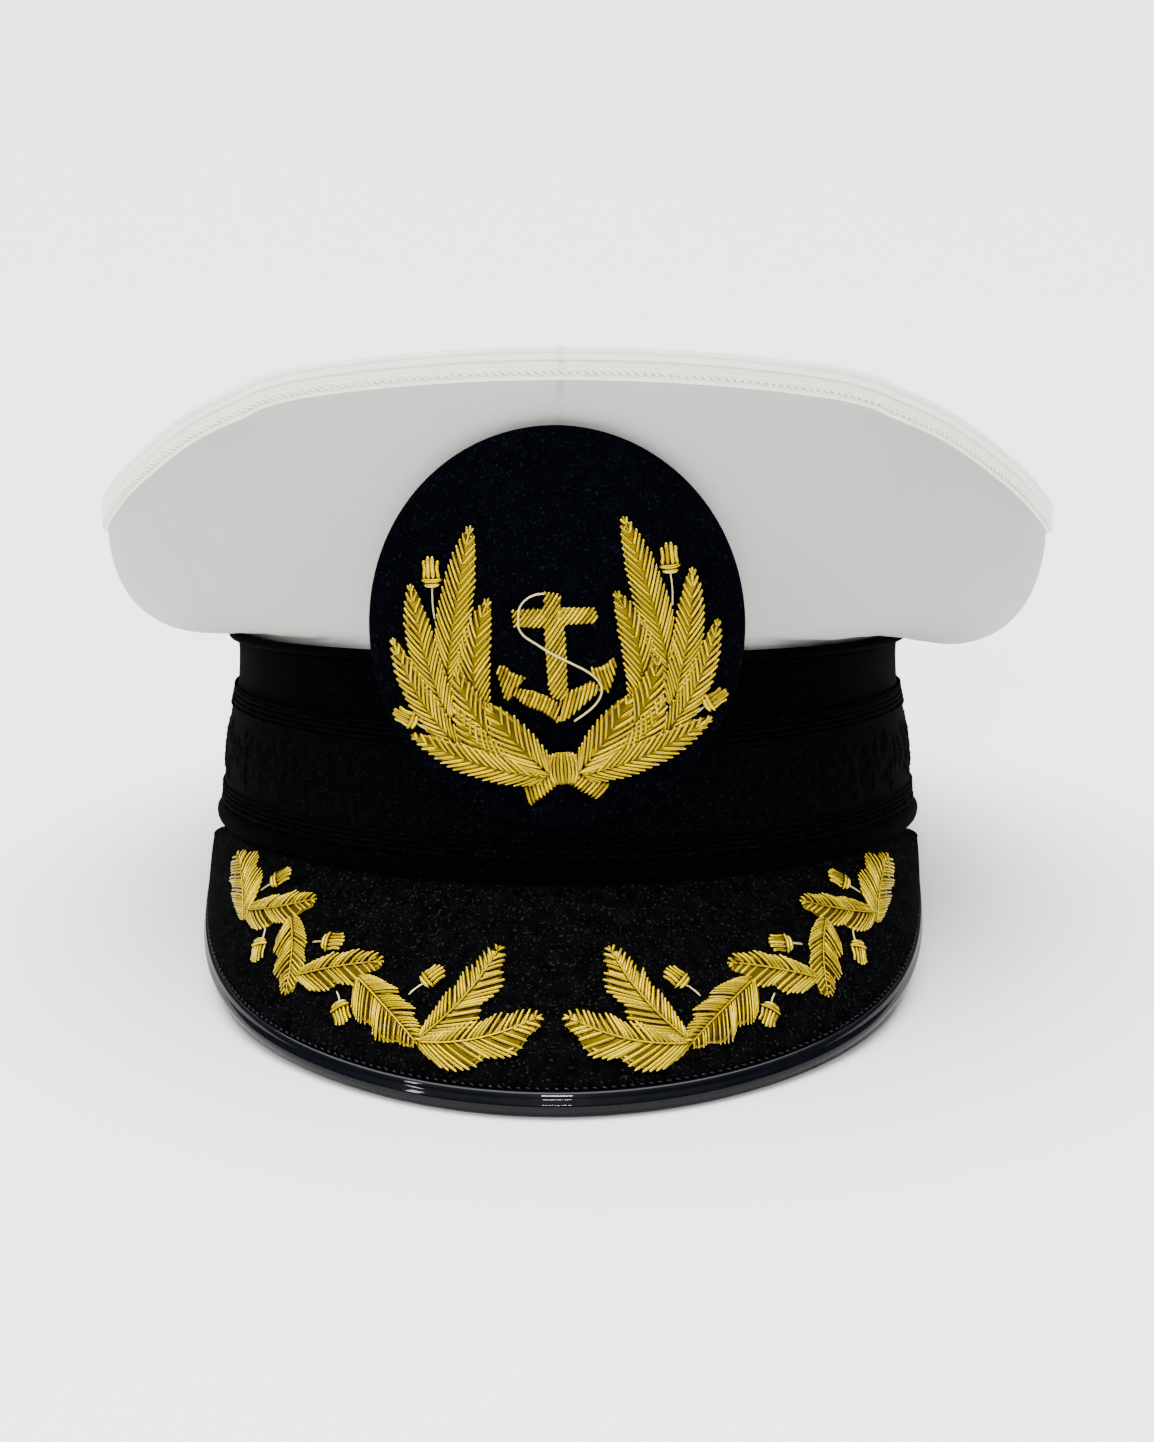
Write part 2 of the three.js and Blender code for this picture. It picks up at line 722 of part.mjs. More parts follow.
// The badge bends round the cap and bridges the step between lace and cover. x is across it
// and y up from its middle; lift is the height above its back.
function badgePoint(x, y, lift) {
  const share = (y + badgeHalfHeight) / (2 * badgeHalfHeight);
  const foot = -(headHalfLength + bandWall + laceOut(0) + badgeFootOut);
  const headHeight = badgeCentreHeight + badgeHalfHeight;
  const headShare = (headHeight - coverFootHeight) / crownRise;
  const head = coverPoint(0, headShare, 0).y - badgeHeadOut;
  const hollow = badgeHollow * 4 * share * (1 - share);
  const bend =
    badgeFootBend * (1 - share) * (1 - 2 * share) +
    badgeMiddleBend * 4 * share * (1 - share) +
    badgeHeadBend * share * (2 * share - 1);
  const back = foot + (head - foot) * share + hollow;
  const facing = new THREE.Vector2(x / bend, -1).normalize();
  return new THREE.Vector3(
    x + facing.x * lift,
    back + (x * x) / (2 * bend) + facing.y * lift,
    badgeCentreHeight + y,
  );
}

function badgeGeometry() {
  const count = 36;
  const ring = (share, lift) =>
    Array.from({ length: count }, (_, i) => {
      const turn = (2 * Math.PI * i) / count;
      const x = badgeHalfWidth * share * Math.sin(turn);
      const y = badgeHalfHeight * share * Math.cos(turn);
      return badgePoint(x, y, lift);
    });
  const shares = [1, 0.8, 0.6, 0.4, 0.2];
  return lid(
    shares.map((share) => ring(share, badgeWall)),
    badgePoint(0, 0, badgeWall),
    shares.map((share) => ring(share, 0)),
    badgePoint(0, 0, 0),
  );
}

// Embroidery

// The step in (u, v) on a surface that goes one millimetre to the left of the way (du, dv).
function leftStep(place, u, v, du, dv) {
  const probe = 0.01;
  const here = place(u, v, 0);
  const alongU = place(u + probe, v, 0).sub(here).divideScalar(probe);
  const alongV = place(u, v + probe, 0).sub(here).divideScalar(probe);
  const [e, f, g] = [alongU.dot(alongU), alongU.dot(alongV), alongV.dot(alongV)];
  const su = -f * du - g * dv;
  const sv = e * du + f * dv;
  const length = Math.sqrt(e * su * su + 2 * f * su * sv + g * sv * sv);
  return { u: su / length, v: sv / length };
}

// A pad along a centre line on a surface. rows hold u, v and half; place(u, v, lift) is the
// surface. The pad's foot is a clearance above the cloth.
function padGeometry(place, rows) {
  return loft(
    rows.map((row, i) => {
      const before = rows[Math.max(i - 1, 0)];
      const after = rows[Math.min(i + 1, rows.length - 1)];
      const left = leftStep(place, row.u, row.v, after.u - before.u, after.v - before.v);
      const at = (side, lift) =>
        place(row.u + left.u * side * row.half, row.v + left.v * side * row.half, seatGap + lift);
      return [at(1, 0), at(1, padEdge), at(0, padRidge), at(-1, padEdge), at(-1, 0), at(0, 0)];
    }),
    false,
  );
}

// Rows of a leaf from its base to its tip.
function leafRows(place, leaf, outline, half) {
  const [du, dv] = [leaf.u2 - leaf.u1, leaf.v2 - leaf.v1];
  const length = place(leaf.u1, leaf.v1, 0).distanceTo(place(leaf.u2, leaf.v2, 0));
  const left = leftStep(place, leaf.u1, leaf.v1, du, dv);
  return outline.map(({ at, wide }) => {
    const bow = leaf.bend * length * 4 * at * (1 - at);
    return {
      u: leaf.u1 + du * at + left.u * bow,
      v: leaf.v1 + dv * at + left.v * bow,
      half: half * leaf.wide * wide,
    };
  });
}

// Rows of a stalk with a nut on its end.
function nutRows(place, nut, length, half) {
  const reach = place(nut.u1, nut.v1, 0).distanceTo(place(nut.u2, nut.v2, 0));
  const start = 1 - length / reach;
  const at = (share, wide) => ({
    u: nut.u1 + (nut.u2 - nut.u1) * share,
    v: nut.v1 + (nut.v2 - nut.v1) * share,
    half: wide,
  });
  return [
    at(0, stalkHalfWidth),
    at(start - stalkHalfWidth / reach, stalkHalfWidth),
    ...nutOutline.map((row) => at(start + (1 - start) * row.at, half * row.wide)),
  ];
}

function joined(geometries) {
  const solids = geometries.map((geometry) => {
    const plain = geometry.clone();
    plain.deleteAttribute("normal");
    const merged = mergeVertices(plain);
    return new wasm.Manifold(
      new wasm.Mesh({
        numProp: 3,
        vertProperties: new Float32Array(merged.attributes.position.array),
        triVerts: new Uint32Array(merged.index.array),
      }),
    );
  });
  const mesh = solids.reduce((all, solid) => all.add(solid)).getMesh();
  return outward(Array.from(mesh.vertProperties), Array.from(mesh.triVerts));
}

// The badge's cloth, with the knot at 0,0 and the axis up. side -1 is the half on the wearer's
// right, 1 the other.
function onBadge(side) {
  const lean = radians(motifLean);
  const foot = new THREE.Vector2(motifShift, motifFoot - badgeHalfHeight);
  return (u, v, lift) => {
    const point = new THREE.Vector2(-side * u * badgeHalfWidth, v * badgeHalfHeight);
    point.rotateAround(new THREE.Vector2(), lean).add(foot);
    return badgePoint(point.x, point.y, badgeWall + lift);
  };
}

// The peak's cloth, from its middle to a horn and from its root to the binding.
function onPeak(side) {
  return (u, v, lift) => {
    const angle = u * peakSpread;
    return peakPoint(side * angle, v * peakClothEnd(angle), peakFace + lift);
  };
}

function stripsGeometry(list, half) {
  return joined(
    list.map((strip) =>
      padGeometry(
        onBadge(-1),
        strip.map(({ u, v, wide }) => ({ u, v, half: half * wide })),
      ),
    ),
  );
}

function wreathGeometry(side) {
  const place = onBadge(side);
  return joined(
    wreathLeaves.map((leaf) =>
      padGeometry(place, leafRows(place, leaf, laurelOutline, laurelHalfWidth)),
    ),
  );
}

// The rope lies on the anchor's pad all along, so it is lifted clear of it.
function ropeGeometry() {
  const place = onBadge(-1);
  const lift = seatGap + padRidge + seatGap + ropeRadius;
  const sides = 4;
  return loft(
    anchorRope.map(({ u, v }, i) => {
      const before = anchorRope[Math.max(i - 1, 0)];
      const after = anchorRope[Math.min(i + 1, anchorRope.length - 1)];
      const left = leftStep(place, u, v, after.u - before.u, after.v - before.v);
      return Array.from({ length: sides }, (_, k) => {
        const turn = (2 * Math.PI * k) / sides;
        const across = ropeRadius * Math.cos(turn);
        return place(u + left.u * across, v + left.v * across, lift + ropeRadius * Math.sin(turn));
      });
    }),
    false,
  );
}

// Materials

const cloth = (color, roughness) => new THREE.MeshStandardMaterial({ color, roughness });
const whiteCover = cloth("#e4e3dc", 0.55);
const whitePiping = cloth("#f1f0e6", 0.5);
const blackCloth = cloth("#0b0c12", 0.95);
const blackLace = cloth("#121416", 0.8);
const peakCloth = cloth("#0c0d11", 0.95);
const badgeFelt = cloth("#0a0c16", 0.97);
const patent = cloth("#08090c", 0.12);
const peakLining = cloth("#101114", 0.6);
const wire = (color) =>
  new THREE.MeshStandardMaterial({ color, roughness: 0.35, metalness: 0.9 });
const goldWire = wire("#d9ae3c");
const paleWire = wire("#d8cf9c");

add("band", bandGeometry(), blackCloth);
add("band_top_roll", topRollGeometry(), blackCloth);
add("band_bottom_roll", bottomRollGeometry(), blackCloth);
add("band_lace", laceGeometry(), blackLace);
add("cover_side", coverSideGeometry(), whiteCover);
add("cover_top", coverTopGeometry(), whiteCover);
add("crown_piping", pipingGeometry(), whitePiping);
add("peak_felt", peakLayer(peakFace - peakFelt, peakFace), peakCloth);
add("peak_board", peakLayer(-peakBoard / 2, peakBoard / 2), peakLining);
add("peak_binding", bindingGeometry(), patent);
add("badge_backing", badgeGeometry(), badgeFelt);

const sides = [
  { side: -1, name: "right" },
  { side: 1, name: "left" },
];
for (const { side, name } of sides) {
  const place = onBadge(side);
  add(`wreath_${name}`, wreathGeometry(side), goldWire);
  for (const bud of wreathBuds) {
    const rows = nutRows(place, bud, budLength * bud.body, budHalfWidth * bud.body);
    add(`wreath_${name}_bud_${bud.name}`, padGeometry(place, rows), goldWire);
  }
}
add("wreath_knot", stripsGeometry(knotStrips, knotHalfWidth), goldWire);
add("anchor", stripsGeometry(anchorStrips, anchorHalfWidth), goldWire);
add("anchor_rope", ropeGeometry(), paleWire);

for (const { side, name } of sides) {
  const place = onPeak(side);
  oakLeaves.forEach((leaf, i) => {
    const rows = leafRows(place, leaf, oakOutline, oakHalfWidth);
    add(`oak_leaf_${name}_${i + 1}`, padGeometry(place, rows), goldWire);
  });
  acorns.forEach((nut, i) => {
    const rows = nutRows(place, nut, acornLength, acornHalfWidth);
    add(`acorn_${name}_${i + 1}`, padGeometry(place, rows), goldWire);
  });
}

// Tip the cap back, then set it on the table with the middle of its box over the origin.
cap.rotation.x = -tilt;
const captainCap = new THREE.Group();
captainCap.add(cap);
captainCap.updateMatrixWorld(true);
const box = new THREE.Box3().setFromObject(captainCap, true);
const middle = box.getCenter(new THREE.Vector3());
cap.position.set(-middle.x, -middle.y, -box.min.z);

export default captainCap;
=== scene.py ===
# %% [markdown]
# A sea captain's peaked cap: a white cover stretched over a wide crown, a black velvet band
# under a broad woven lace, a felt badge with a wreath and an anchor in gold wire, and a felt
# peak with oak leaves and a glossy bound edge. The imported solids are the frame: every piece
# below is made finer than its solid, in the same place.

# %% The frame
import math

import bpy
import numpy as np
from mathutils import Matrix


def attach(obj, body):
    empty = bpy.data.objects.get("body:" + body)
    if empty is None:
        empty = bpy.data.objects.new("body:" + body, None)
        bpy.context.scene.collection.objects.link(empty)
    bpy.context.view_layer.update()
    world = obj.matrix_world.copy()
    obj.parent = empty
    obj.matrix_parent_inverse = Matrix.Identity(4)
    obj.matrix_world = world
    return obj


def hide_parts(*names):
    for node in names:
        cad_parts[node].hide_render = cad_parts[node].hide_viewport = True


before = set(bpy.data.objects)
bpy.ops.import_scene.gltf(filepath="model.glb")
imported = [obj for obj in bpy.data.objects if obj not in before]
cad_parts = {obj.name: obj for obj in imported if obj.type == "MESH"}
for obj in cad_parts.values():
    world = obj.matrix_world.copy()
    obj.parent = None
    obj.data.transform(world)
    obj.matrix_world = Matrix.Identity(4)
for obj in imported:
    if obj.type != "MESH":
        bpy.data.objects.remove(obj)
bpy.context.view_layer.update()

# %% [markdown]
# The cap is made level, in millimetres, with height 0 on the lower rim of its band, and is then
# tipped back to the way it rests on a table. One function does that for every piece, so a
# single tilt and shift hold for all of them.

# %% From the level cap to the table
MILLIMETRE = 0.001
REST_TILT = math.radians(12.35)
REST_SHIFT = np.array([-2.4, 4.087, 22.565])


def settle(points):
    """Points of the level cap in millimetres, where they rest, in metres."""
    points = np.asarray(points, dtype=float)
    x, y, z = points[..., 0], points[..., 1], points[..., 2]
    cos, sin = math.cos(REST_TILT), math.sin(REST_TILT)
    turned = np.stack([x, y * cos + z * sin, z * cos - y * sin], axis=-1)
    return (turned + REST_SHIFT) * MILLIMETRE


# %% [markdown]
# Most pieces here are swept: a section is carried round the head, along the peak or along a
# wire. A grid of points is all that takes. A wall needs two grids, its outer and its inner
# face, and strips that close it along its borders, so each piece is one closed mesh.

# %% Grids and walls
def grid_faces(rows, columns, wrap_rows=False, wrap_columns=False):
    """Four-cornered faces of a grid of points, counted row by row."""
    row_count = rows if wrap_rows else rows - 1
    column_count = columns if wrap_columns else columns - 1
    r = np.arange(row_count)[:, None] + np.zeros((1, column_count), int)
    c = np.arange(column_count)[None, :] + np.zeros((row_count, 1), int)
    r_next, c_next = (r + 1) % rows, (c + 1) % columns
    corners = [r * columns + c, r_next * columns + c, r_next * columns + c_next, r * columns + c_next]
    return np.stack(corners, axis=-1).reshape(-1, 4)


def end_caps(rows, columns):
    """Two many-cornered faces that close a tube at its first and its last row of points."""
    section = np.arange(columns)
    return [section[::-1].tolist(), (section + (rows - 1) * columns).tolist()]


def wall(outer, inner, wrap):
    """A closed wall between two grids of points. Returns points and faces."""
    rows, columns = outer.shape[:2]
    count = rows * columns
    front = grid_faces(rows, columns, wrap_rows=wrap)
    faces = [front, front[:, ::-1] + count]
    r = np.arange(rows if wrap else rows - 1)
    r_next = (r + 1) % rows
    for column, flip in ((0, False), (columns - 1, True)):
        a, b = r * columns + column, r_next * columns + column
        strip = np.stack([a, a + count, b + count, b], axis=-1)
        faces.append(strip[:, ::-1] if flip else strip)
    if not wrap:
        c = np.arange(columns - 1)
        for row, flip in ((0, True), (rows - 1, False)):
            a = row * columns + c
            strip = np.stack([a, a + count, a + 1 + count, a + 1], axis=-1)
            faces.append(strip[:, ::-1] if flip else strip)
    return np.concatenate([outer.reshape(-1, 3), inner.reshape(-1, 3)]), np.concatenate(faces)


def unit(vectors):
    return vectors / np.maximum(np.linalg.norm(vectors, axis=-1, keepdims=True), 1e-9)


# %% [markdown]
# A wire or a thread is a round tube along a path. Curve objects with a bevel would do for a few.
# Thousands of short ones make the embroidery, so this works on whole arrays of paths at once.
# Each wire also gets a tone of its own, and a tone towards 1 near an end makes that end pale: a
# painted highlight, where the end of a coiled wire catches the light.

# %% Tubes
randomness = np.random.default_rng(7)
WIRE_TONES, CLOTH_TONE = 0.7, 0.35


def tubes(paths, up, radius, sides=7, pale=0.0):
    """Round tubes: paths and up are (count, steps, 3). Returns one shape for all of them:
    points, faces, end caps, the place along and round a tube, and the tone."""
    count, steps = paths.shape[:2]
    along = unit(np.gradient(paths, axis=1))
    across = unit(np.cross(along, up))
    rise = np.cross(across, along)
    turn = np.linspace(0, 2 * math.pi, sides, endpoint=False)
    ring = across[:, :, None] * np.cos(turn)[:, None] + rise[:, :, None] * np.sin(turn)[:, None]
    points = paths[:, :, None] + ring * np.asarray(radius)[..., None, None]
    one = grid_faces(steps, sides, wrap_columns=True)
    starts = np.arange(count) * steps * sides
    faces = (one[None] + starts[:, None, None]).reshape(-1, 4)
    near = starts[:, None] + np.arange(sides)
    far = starts[:, None] + (steps - 1) * sides + np.arange(sides)[::-1]
    gaps = np.linalg.norm(np.diff(paths, axis=1), axis=-1)
    length = np.concatenate([np.zeros((count, 1)), np.cumsum(gaps, axis=1)], axis=1)
    place = np.stack(np.broadcast_arrays(length[:, :, None], turn / (2 * math.pi)), axis=-1)
    tone = WIRE_TONES * randomness.random((count, 1, 1)) + np.zeros((1, steps, sides))
    # A pale end is a painted highlight.
    tone = np.maximum(tone, np.broadcast_to(pale, (steps,))[None, :, None])
    caps = near.tolist() + far.tolist()
    return points.reshape(-1, 3), faces, caps, place.reshape(-1, 2), tone.ravel()


def plain(points, faces, place=None, caps=(), tone=CLOTH_TONE):
    """The same kind of shape for a piece that has one tone all over."""
    place = np.zeros((len(points), 2)) if place is None else place
    return points, faces, list(caps), place, np.full(len(points), tone)


def join(shapes):
    """Several shapes as one."""
    starts = np.cumsum([0] + [len(shape[0]) for shape in shapes[:-1]])
    faces = np.concatenate([shape[1] + start for shape, start in zip(shapes, starts)])
    caps = []
    for shape, start in zip(shapes, starts):
        caps += [[corner + int(start) for corner in cap] for cap in shape[2]]
    points, places, tones = (np.concatenate([shape[k] for shape in shapes]) for k in (0, 3, 4))
    return points, faces, caps, places, tones


# %% [markdown]
# Every piece is handed to Blender the same way: its points, its faces, a flat map of where each
# point lies on its cloth or wire (in millimetres, so a weave has its real size), and the solid
# that it stands for.

# %% Making a piece
def make(name, shape, slot, *stands_for):
    points, faces, caps, place, tone = shape
    mesh = bpy.data.meshes.new(name)
    polygons = faces.tolist() + caps
    mesh.from_pydata(settle(points).tolist(), [], polygons)
    mesh.polygons.foreach_set("use_smooth", [True] * len(polygons))
    corner = np.empty(len(mesh.loops), dtype=np.int32)
    mesh.loops.foreach_get("vertex_index", corner)
    layer = mesh.uv_layers.new(name="cloth")
    layer.data.foreach_set("uv", place[corner].astype(np.float32).ravel())
    tones = mesh.attributes.new("tone", "FLOAT", "POINT")
    tones.data.foreach_set("value", tone.astype(np.float32))
    mesh.validate()
    mesh.update()
    piece = bpy.data.objects.new(name, mesh)
    bpy.context.scene.collection.objects.link(piece)
    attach(piece, "root")
    if stands_for:
        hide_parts(*stands_for)
    mesh.materials.append(finish[slot])
    print(f"{name}: {len(polygons)} faces")
    return piece


# %% [markdown]
# A finish that more than one cloth shares is a node group with its own inputs, such as a weave,
# wool fibres or a coiled wire. The shader itself stays in each material.

# %% Helpers for finishes
def new_group(name, inputs, outputs):
    group = bpy.data.node_groups.new(name, "ShaderNodeTree")
    for label, value in inputs:
        socket = group.interface.new_socket(label, in_out="INPUT", socket_type="NodeSocketFloat")
        socket.default_value = value
    for label in outputs:
        group.interface.new_socket(label, in_out="OUTPUT", socket_type="NodeSocketFloat")
    return group, group.nodes.new("NodeGroupInput"), group.nodes.new("NodeGroupOutput")


def math_node(tree, operation, *values):
    node = tree.nodes.new("ShaderNodeMath")
    node.operation = operation
    for socket, value in zip(node.inputs, values):
        if isinstance(value, (int, float)):
            socket.default_value = value
        else:
            tree.links.new(value, socket)
    return node.outputs[0]


def noise_of(tree, where, size, detail):
    """Noise whose grains have a size in millimetres, given as a socket."""
    noise = tree.nodes.new("ShaderNodeTexNoise")
    noise.inputs["Detail"].default_value = detail
    tree.links.new(math_node(tree, "DIVIDE", 1000.0, size), noise.inputs["Scale"])
    tree.links.new(where.outputs["Object"], noise.inputs["Vector"])
    return noise.outputs[0]


def flat_place(tree):
    """Millimetres along and across the cloth or wire."""
    where = tree.nodes.new("ShaderNodeUVMap")
    parts = tree.nodes.new("ShaderNodeSeparateXYZ")
    tree.links.new(where.outputs[0], parts.inputs[0])
    return parts.outputs[0], parts.outputs[1]


# %% [markdown]
# Wool felt and velvet are mats of short fibres: fine noise at a few tenths of a millimetre for
# the fibres, and a coarser one for the nap that lies this way and that. A few fibres stand up and
# catch the light: bright specks painted into the colour, painted glints. Object coordinates keep
# their size the same on every piece.

# %% Fibres, weave and coiled wire
def fibre_group():
    inputs = [("Fibre size", 0.4), ("Nap size", 3.0), ("Glint size", 0.7)]
    group, given, out = new_group("fibres", inputs, ["Height", "Tone", "Painted glints"])
    where = group.nodes.new("ShaderNodeTexCoord")
    fine = noise_of(group, where, given.outputs["Fibre size"], 3)
    coarse = noise_of(group, where, given.outputs["Nap size"], 2)
    glint_noise = noise_of(group, where, given.outputs["Glint size"], 1)
    height = math_node(group, "ADD", fine, math_node(group, "MULTIPLY", coarse, 0.6))
    # Bright spots where this noise is high: painted glints of fibres that catch the light.
    standing = math_node(group, "MULTIPLY", math_node(group, "SUBTRACT", glint_noise, 0.62), 8.0)
    group.links.new(height, out.inputs["Height"])
    group.links.new(math_node(group, "MULTIPLY", fine, coarse), out.inputs["Tone"])
    group.links.new(math_node(group, "MAXIMUM", standing, 0.0), out.inputs["Painted glints"])
    return group


def weave_group():
    group, given, out = new_group("weave", [("Thread", 0.35), ("Slant", 1.0)], ["Height"])
    along, up = flat_place(group)
    step = math_node(group, "DIVIDE", 2 * math.pi, given.outputs["Thread"])
    across = math_node(group, "MULTIPLY", along, step)
    rise = math_node(group, "MULTIPLY", up, step)
    slanted = math_node(group, "ADD", across, math_node(group, "MULTIPLY", rise, given.outputs["Slant"]))
    crossing = math_node(group, "SINE", math_node(group, "SUBTRACT", rise, across))
    fainter = math_node(group, "MULTIPLY", crossing, 0.4)
    both = math_node(group, "ADD", math_node(group, "SINE", slanted), fainter)
    group.links.new(both, out.inputs["Height"])
    return group


def coil_group():
    group, given, out = new_group("coiled wire", [("Pitch", 0.22)], ["Height"])
    along, turn = flat_place(group)
    turns = math_node(group, "ADD", math_node(group, "DIVIDE", along, given.outputs["Pitch"]), turn)
    ridge = math_node(group, "SINE", math_node(group, "MULTIPLY", turns, 2 * math.pi))
    group.links.new(ridge, out.inputs["Height"])
    return group


shared = {"fibres": fibre_group(), "weave": weave_group(), "coil": coil_group()}


def place_group(tree, name, **values):
    node = tree.nodes.new("ShaderNodeGroup")
    node.node_tree = shared[name]
    for label, value in values.items():
        node.inputs[label.replace("_", " ")].default_value = value
    return node


# %% [markdown]
# Every finish starts as one Principled shader with its constant values, and then gets a ramp of
# colours and a bump with a real depth.

# %% Starting a finish
def new_finish(name, color, roughness, metallic=0.0, specular=0.5, sheen=0.0, coat=0.0):
    material = bpy.data.materials.new(name)
    material.use_nodes = True
    tree = material.node_tree
    shader = tree.nodes["Principled BSDF"]
    shader.inputs["Base Color"].default_value = (*color, 1)
    shader.inputs["Roughness"].default_value = roughness
    shader.inputs["Metallic"].default_value = metallic
    shader.inputs["Specular IOR Level"].default_value = specular
    shader.inputs["Sheen Weight"].default_value = sheen
    shader.inputs["Sheen Roughness"].default_value = 0.4
    shader.inputs["Coat Weight"].default_value = coat
    return material, tree, shader


def add_bump(tree, shader, height, depth):
    """A Bump node. depth is the real height in metres of one unit of the pattern."""
    bump = tree.nodes.new("ShaderNodeBump")
    bump.inputs["Distance"].default_value = depth
    tree.links.new(height, bump.inputs["Height"])
    tree.links.new(bump.outputs[0], shader.inputs["Normal"])


def color_ramp(tree, factor, stops):
    ramp = tree.nodes.new("ShaderNodeValToRGB")
    tree.links.new(factor, ramp.inputs[0])
    elements = ramp.color_ramp.elements
    while len(elements) < len(stops):
        elements.new(0.5)
    for element, (at, color) in zip(elements, stops):
        element.position = at
        element.color = (*color, 1)
    return ramp.outputs[0]


# %% [markdown]
# Black cloth looks black because its fibres trap light: hardly any colour and next to no shine,
# so the specular level is close to nothing. The white cover is a smooth tight weave, and its
# threads are so fine that they only soften the light. Its colour is a light grey, darker than the
# piping's white: painted shade for the cover, whose side faces away from the light above.

# %% Cloths
def wool(name, colors, fibre, depth):
    """colors: painted shade between the fibres, on them, and a painted glint where one catches the light."""
    material, tree, shader = new_finish(name, colors[0], 0.95, specular=0.01)
    fibres = place_group(tree, "fibres", Fibre_size=fibre, Nap_size=fibre * 8)
    # Low tones give painted shade between the fibres, the bright spots painted glints.
    tone = math_node(tree, "ADD", fibres.outputs["Tone"], fibres.outputs["Painted glints"])
    color = color_ramp(tree, tone, list(zip((0.15, 0.45, 1.0), colors)))
    tree.links.new(color, shader.inputs["Base Color"])
    add_bump(tree, shader, fibres.outputs["Height"], depth)
    return material


def cover_cloth(name, color, shade, roughness):
    material, tree, shader = new_finish(name, color, roughness, specular=0.4, sheen=0.05, coat=0.05)
    shader.inputs["Coat Roughness"].default_value = 0.35
    weave = place_group(tree, "weave", Thread=0.42, Slant=0.5)
    fibres = place_group(tree, "fibres", Fibre_size=1.2, Nap_size=30)
    tone = color_ramp(tree, fibres.outputs["Tone"], [(0.12, shade), (0.42, color)])
    tree.links.new(tone, shader.inputs["Base Color"])
    add_bump(tree, shader, weave.outputs[0], 0.00001)
    return material


# %% [markdown]
# Gold wire is a metal, deep yellow, each length of it a little different, which its tone gives.
# Its palest colour is reached only near wire ends, as a painted highlight, and its deepest colour
# also paints the pads as shade between the wires.
# Patent leather is black under a clear hard coat, so it shows only the lights.

# %% Wire and patent leather
def metal_wire(name, deep, bright, pale, roughness, pitch):
    material, tree, shader = new_finish(name, bright, roughness, metallic=1.0)
    coil = place_group(tree, "coil", Pitch=pitch)
    tone = tree.nodes.new("ShaderNodeAttribute")
    tone.attribute_name = "tone"
    # Random tones run from deep to bright; pale, near wire ends, is a painted highlight, and deep on the
    # pads is painted shade.
    color = color_ramp(tree, tone.outputs["Fac"], [(0.0, deep), (0.7, bright), (1.0, pale)])
    tree.links.new(color, shader.inputs["Base Color"])
    add_bump(tree, shader, coil.outputs[0], 0.000012)
    return material


def patent_leather():
    darker, lighter = (0.0008, 0.001, 0.003), (0.002, 0.0022, 0.004)
    material, tree, shader = new_finish("patent leather", darker, 0.3, specular=0.02, coat=0.3)
    shader.inputs["Coat Roughness"].default_value = 0.03
    grain = place_group(tree, "fibres", Fibre_size=2.5, Nap_size=14)
    color = color_ramp(tree, grain.outputs["Tone"], [(0.15, darker), (0.45, lighter)])
    tree.links.new(color, shader.inputs["Base Color"])
    add_bump(tree, shader, grain.outputs["Height"], 0.00006)
    return material


# %% [markdown]
# These are the cap's ten finishes. Velvet, lace, felt and lining are all wool here, and differ
# in how dark they are, in the size of their fibres and in how far those stand up.

# %% Finishes
finish = {
    # The cover's light grey is painted shade; the piping keeps the cloth's own white.
    "white_cover": cover_cloth("white cover", (0.43, 0.43, 0.41), (0.4, 0.4, 0.38), 0.6),
    "white_piping": cover_cloth("white piping", (0.95, 0.95, 0.88), (0.9, 0.9, 0.82), 0.5),
    "black_cloth": wool(
        "black velvet",
        [(0.0002, 0.0002, 0.0004), (0.0006, 0.0007, 0.0011), (0.002, 0.0022, 0.003)],
        0.3,
        0.00012,
    ),
    "lace": wool(
        "mohair lace",
        [(0.0003, 0.0004, 0.0004), (0.0013, 0.0015, 0.0015), (0.004, 0.0043, 0.0043)],
        0.22,
        0.00005,
    ),
    "peak_cloth": wool(
        "peak felt",
        [(0.0004, 0.0004, 0.0005), (0.0025, 0.0025, 0.003), (0.012, 0.012, 0.014)],
        0.45,
        0.0002,
    ),
    "badge_felt": wool(
        "badge felt",
        [(0.0003, 0.0004, 0.001), (0.0009, 0.0012, 0.0026), (0.004, 0.005, 0.009)],
        0.45,
        0.00025,
    ),
    "peak_lining": wool(
        "peak lining",
        [(0.006, 0.006, 0.007), (0.012, 0.012, 0.013), (0.014, 0.014, 0.015)],
        0.8,
        0.00003,
    ),
    # Its first colour also paints the pads' shade, its last the painted highlight on wire ends.
    "gold_wire": metal_wire("gold wire", (0.2, 0.135, 0.0), (0.7, 0.51, 0.0), (0.9, 0.74, 0.16), 0.25, 0.24),
    "pale_wire": metal_wire("pale wire", (0.55, 0.46, 0.2), (0.75, 0.66, 0.34), (0.85, 0.78, 0.5), 0.3, 0.3),
    "patent": patent_leather(),
}
print("finishes:", len(finish))

# %% [markdown]
# The head opening is a long oval, a little narrower towards the top of the band, and the rim
# dips at the front. Angles go round the head from the front (0) by the wearer's left (90), and
# a surface is a function of an angle and a height.

# %% The band's shape
HEAD_HALF_WIDTH, HEAD_HALF_LENGTH = 86.2, 102.6
BAND_WALL, BAND_HEIGHT = 2.6, 44.4
SIDE_TAPER, END_TAPER = 4.0, 2.4
RIM_DIP, DIP_SHARPNESS, DIP_HOLD = 4.2, 1.5, 8
GAP = 0.3
VELVET_RISE = 2.4


def oval(half_width, front, back, angle):
    a = np.radians(angle)
    return half_width * np.sin(a), -np.where(np.cos(a) >= 0, front, back) * np.cos(a)


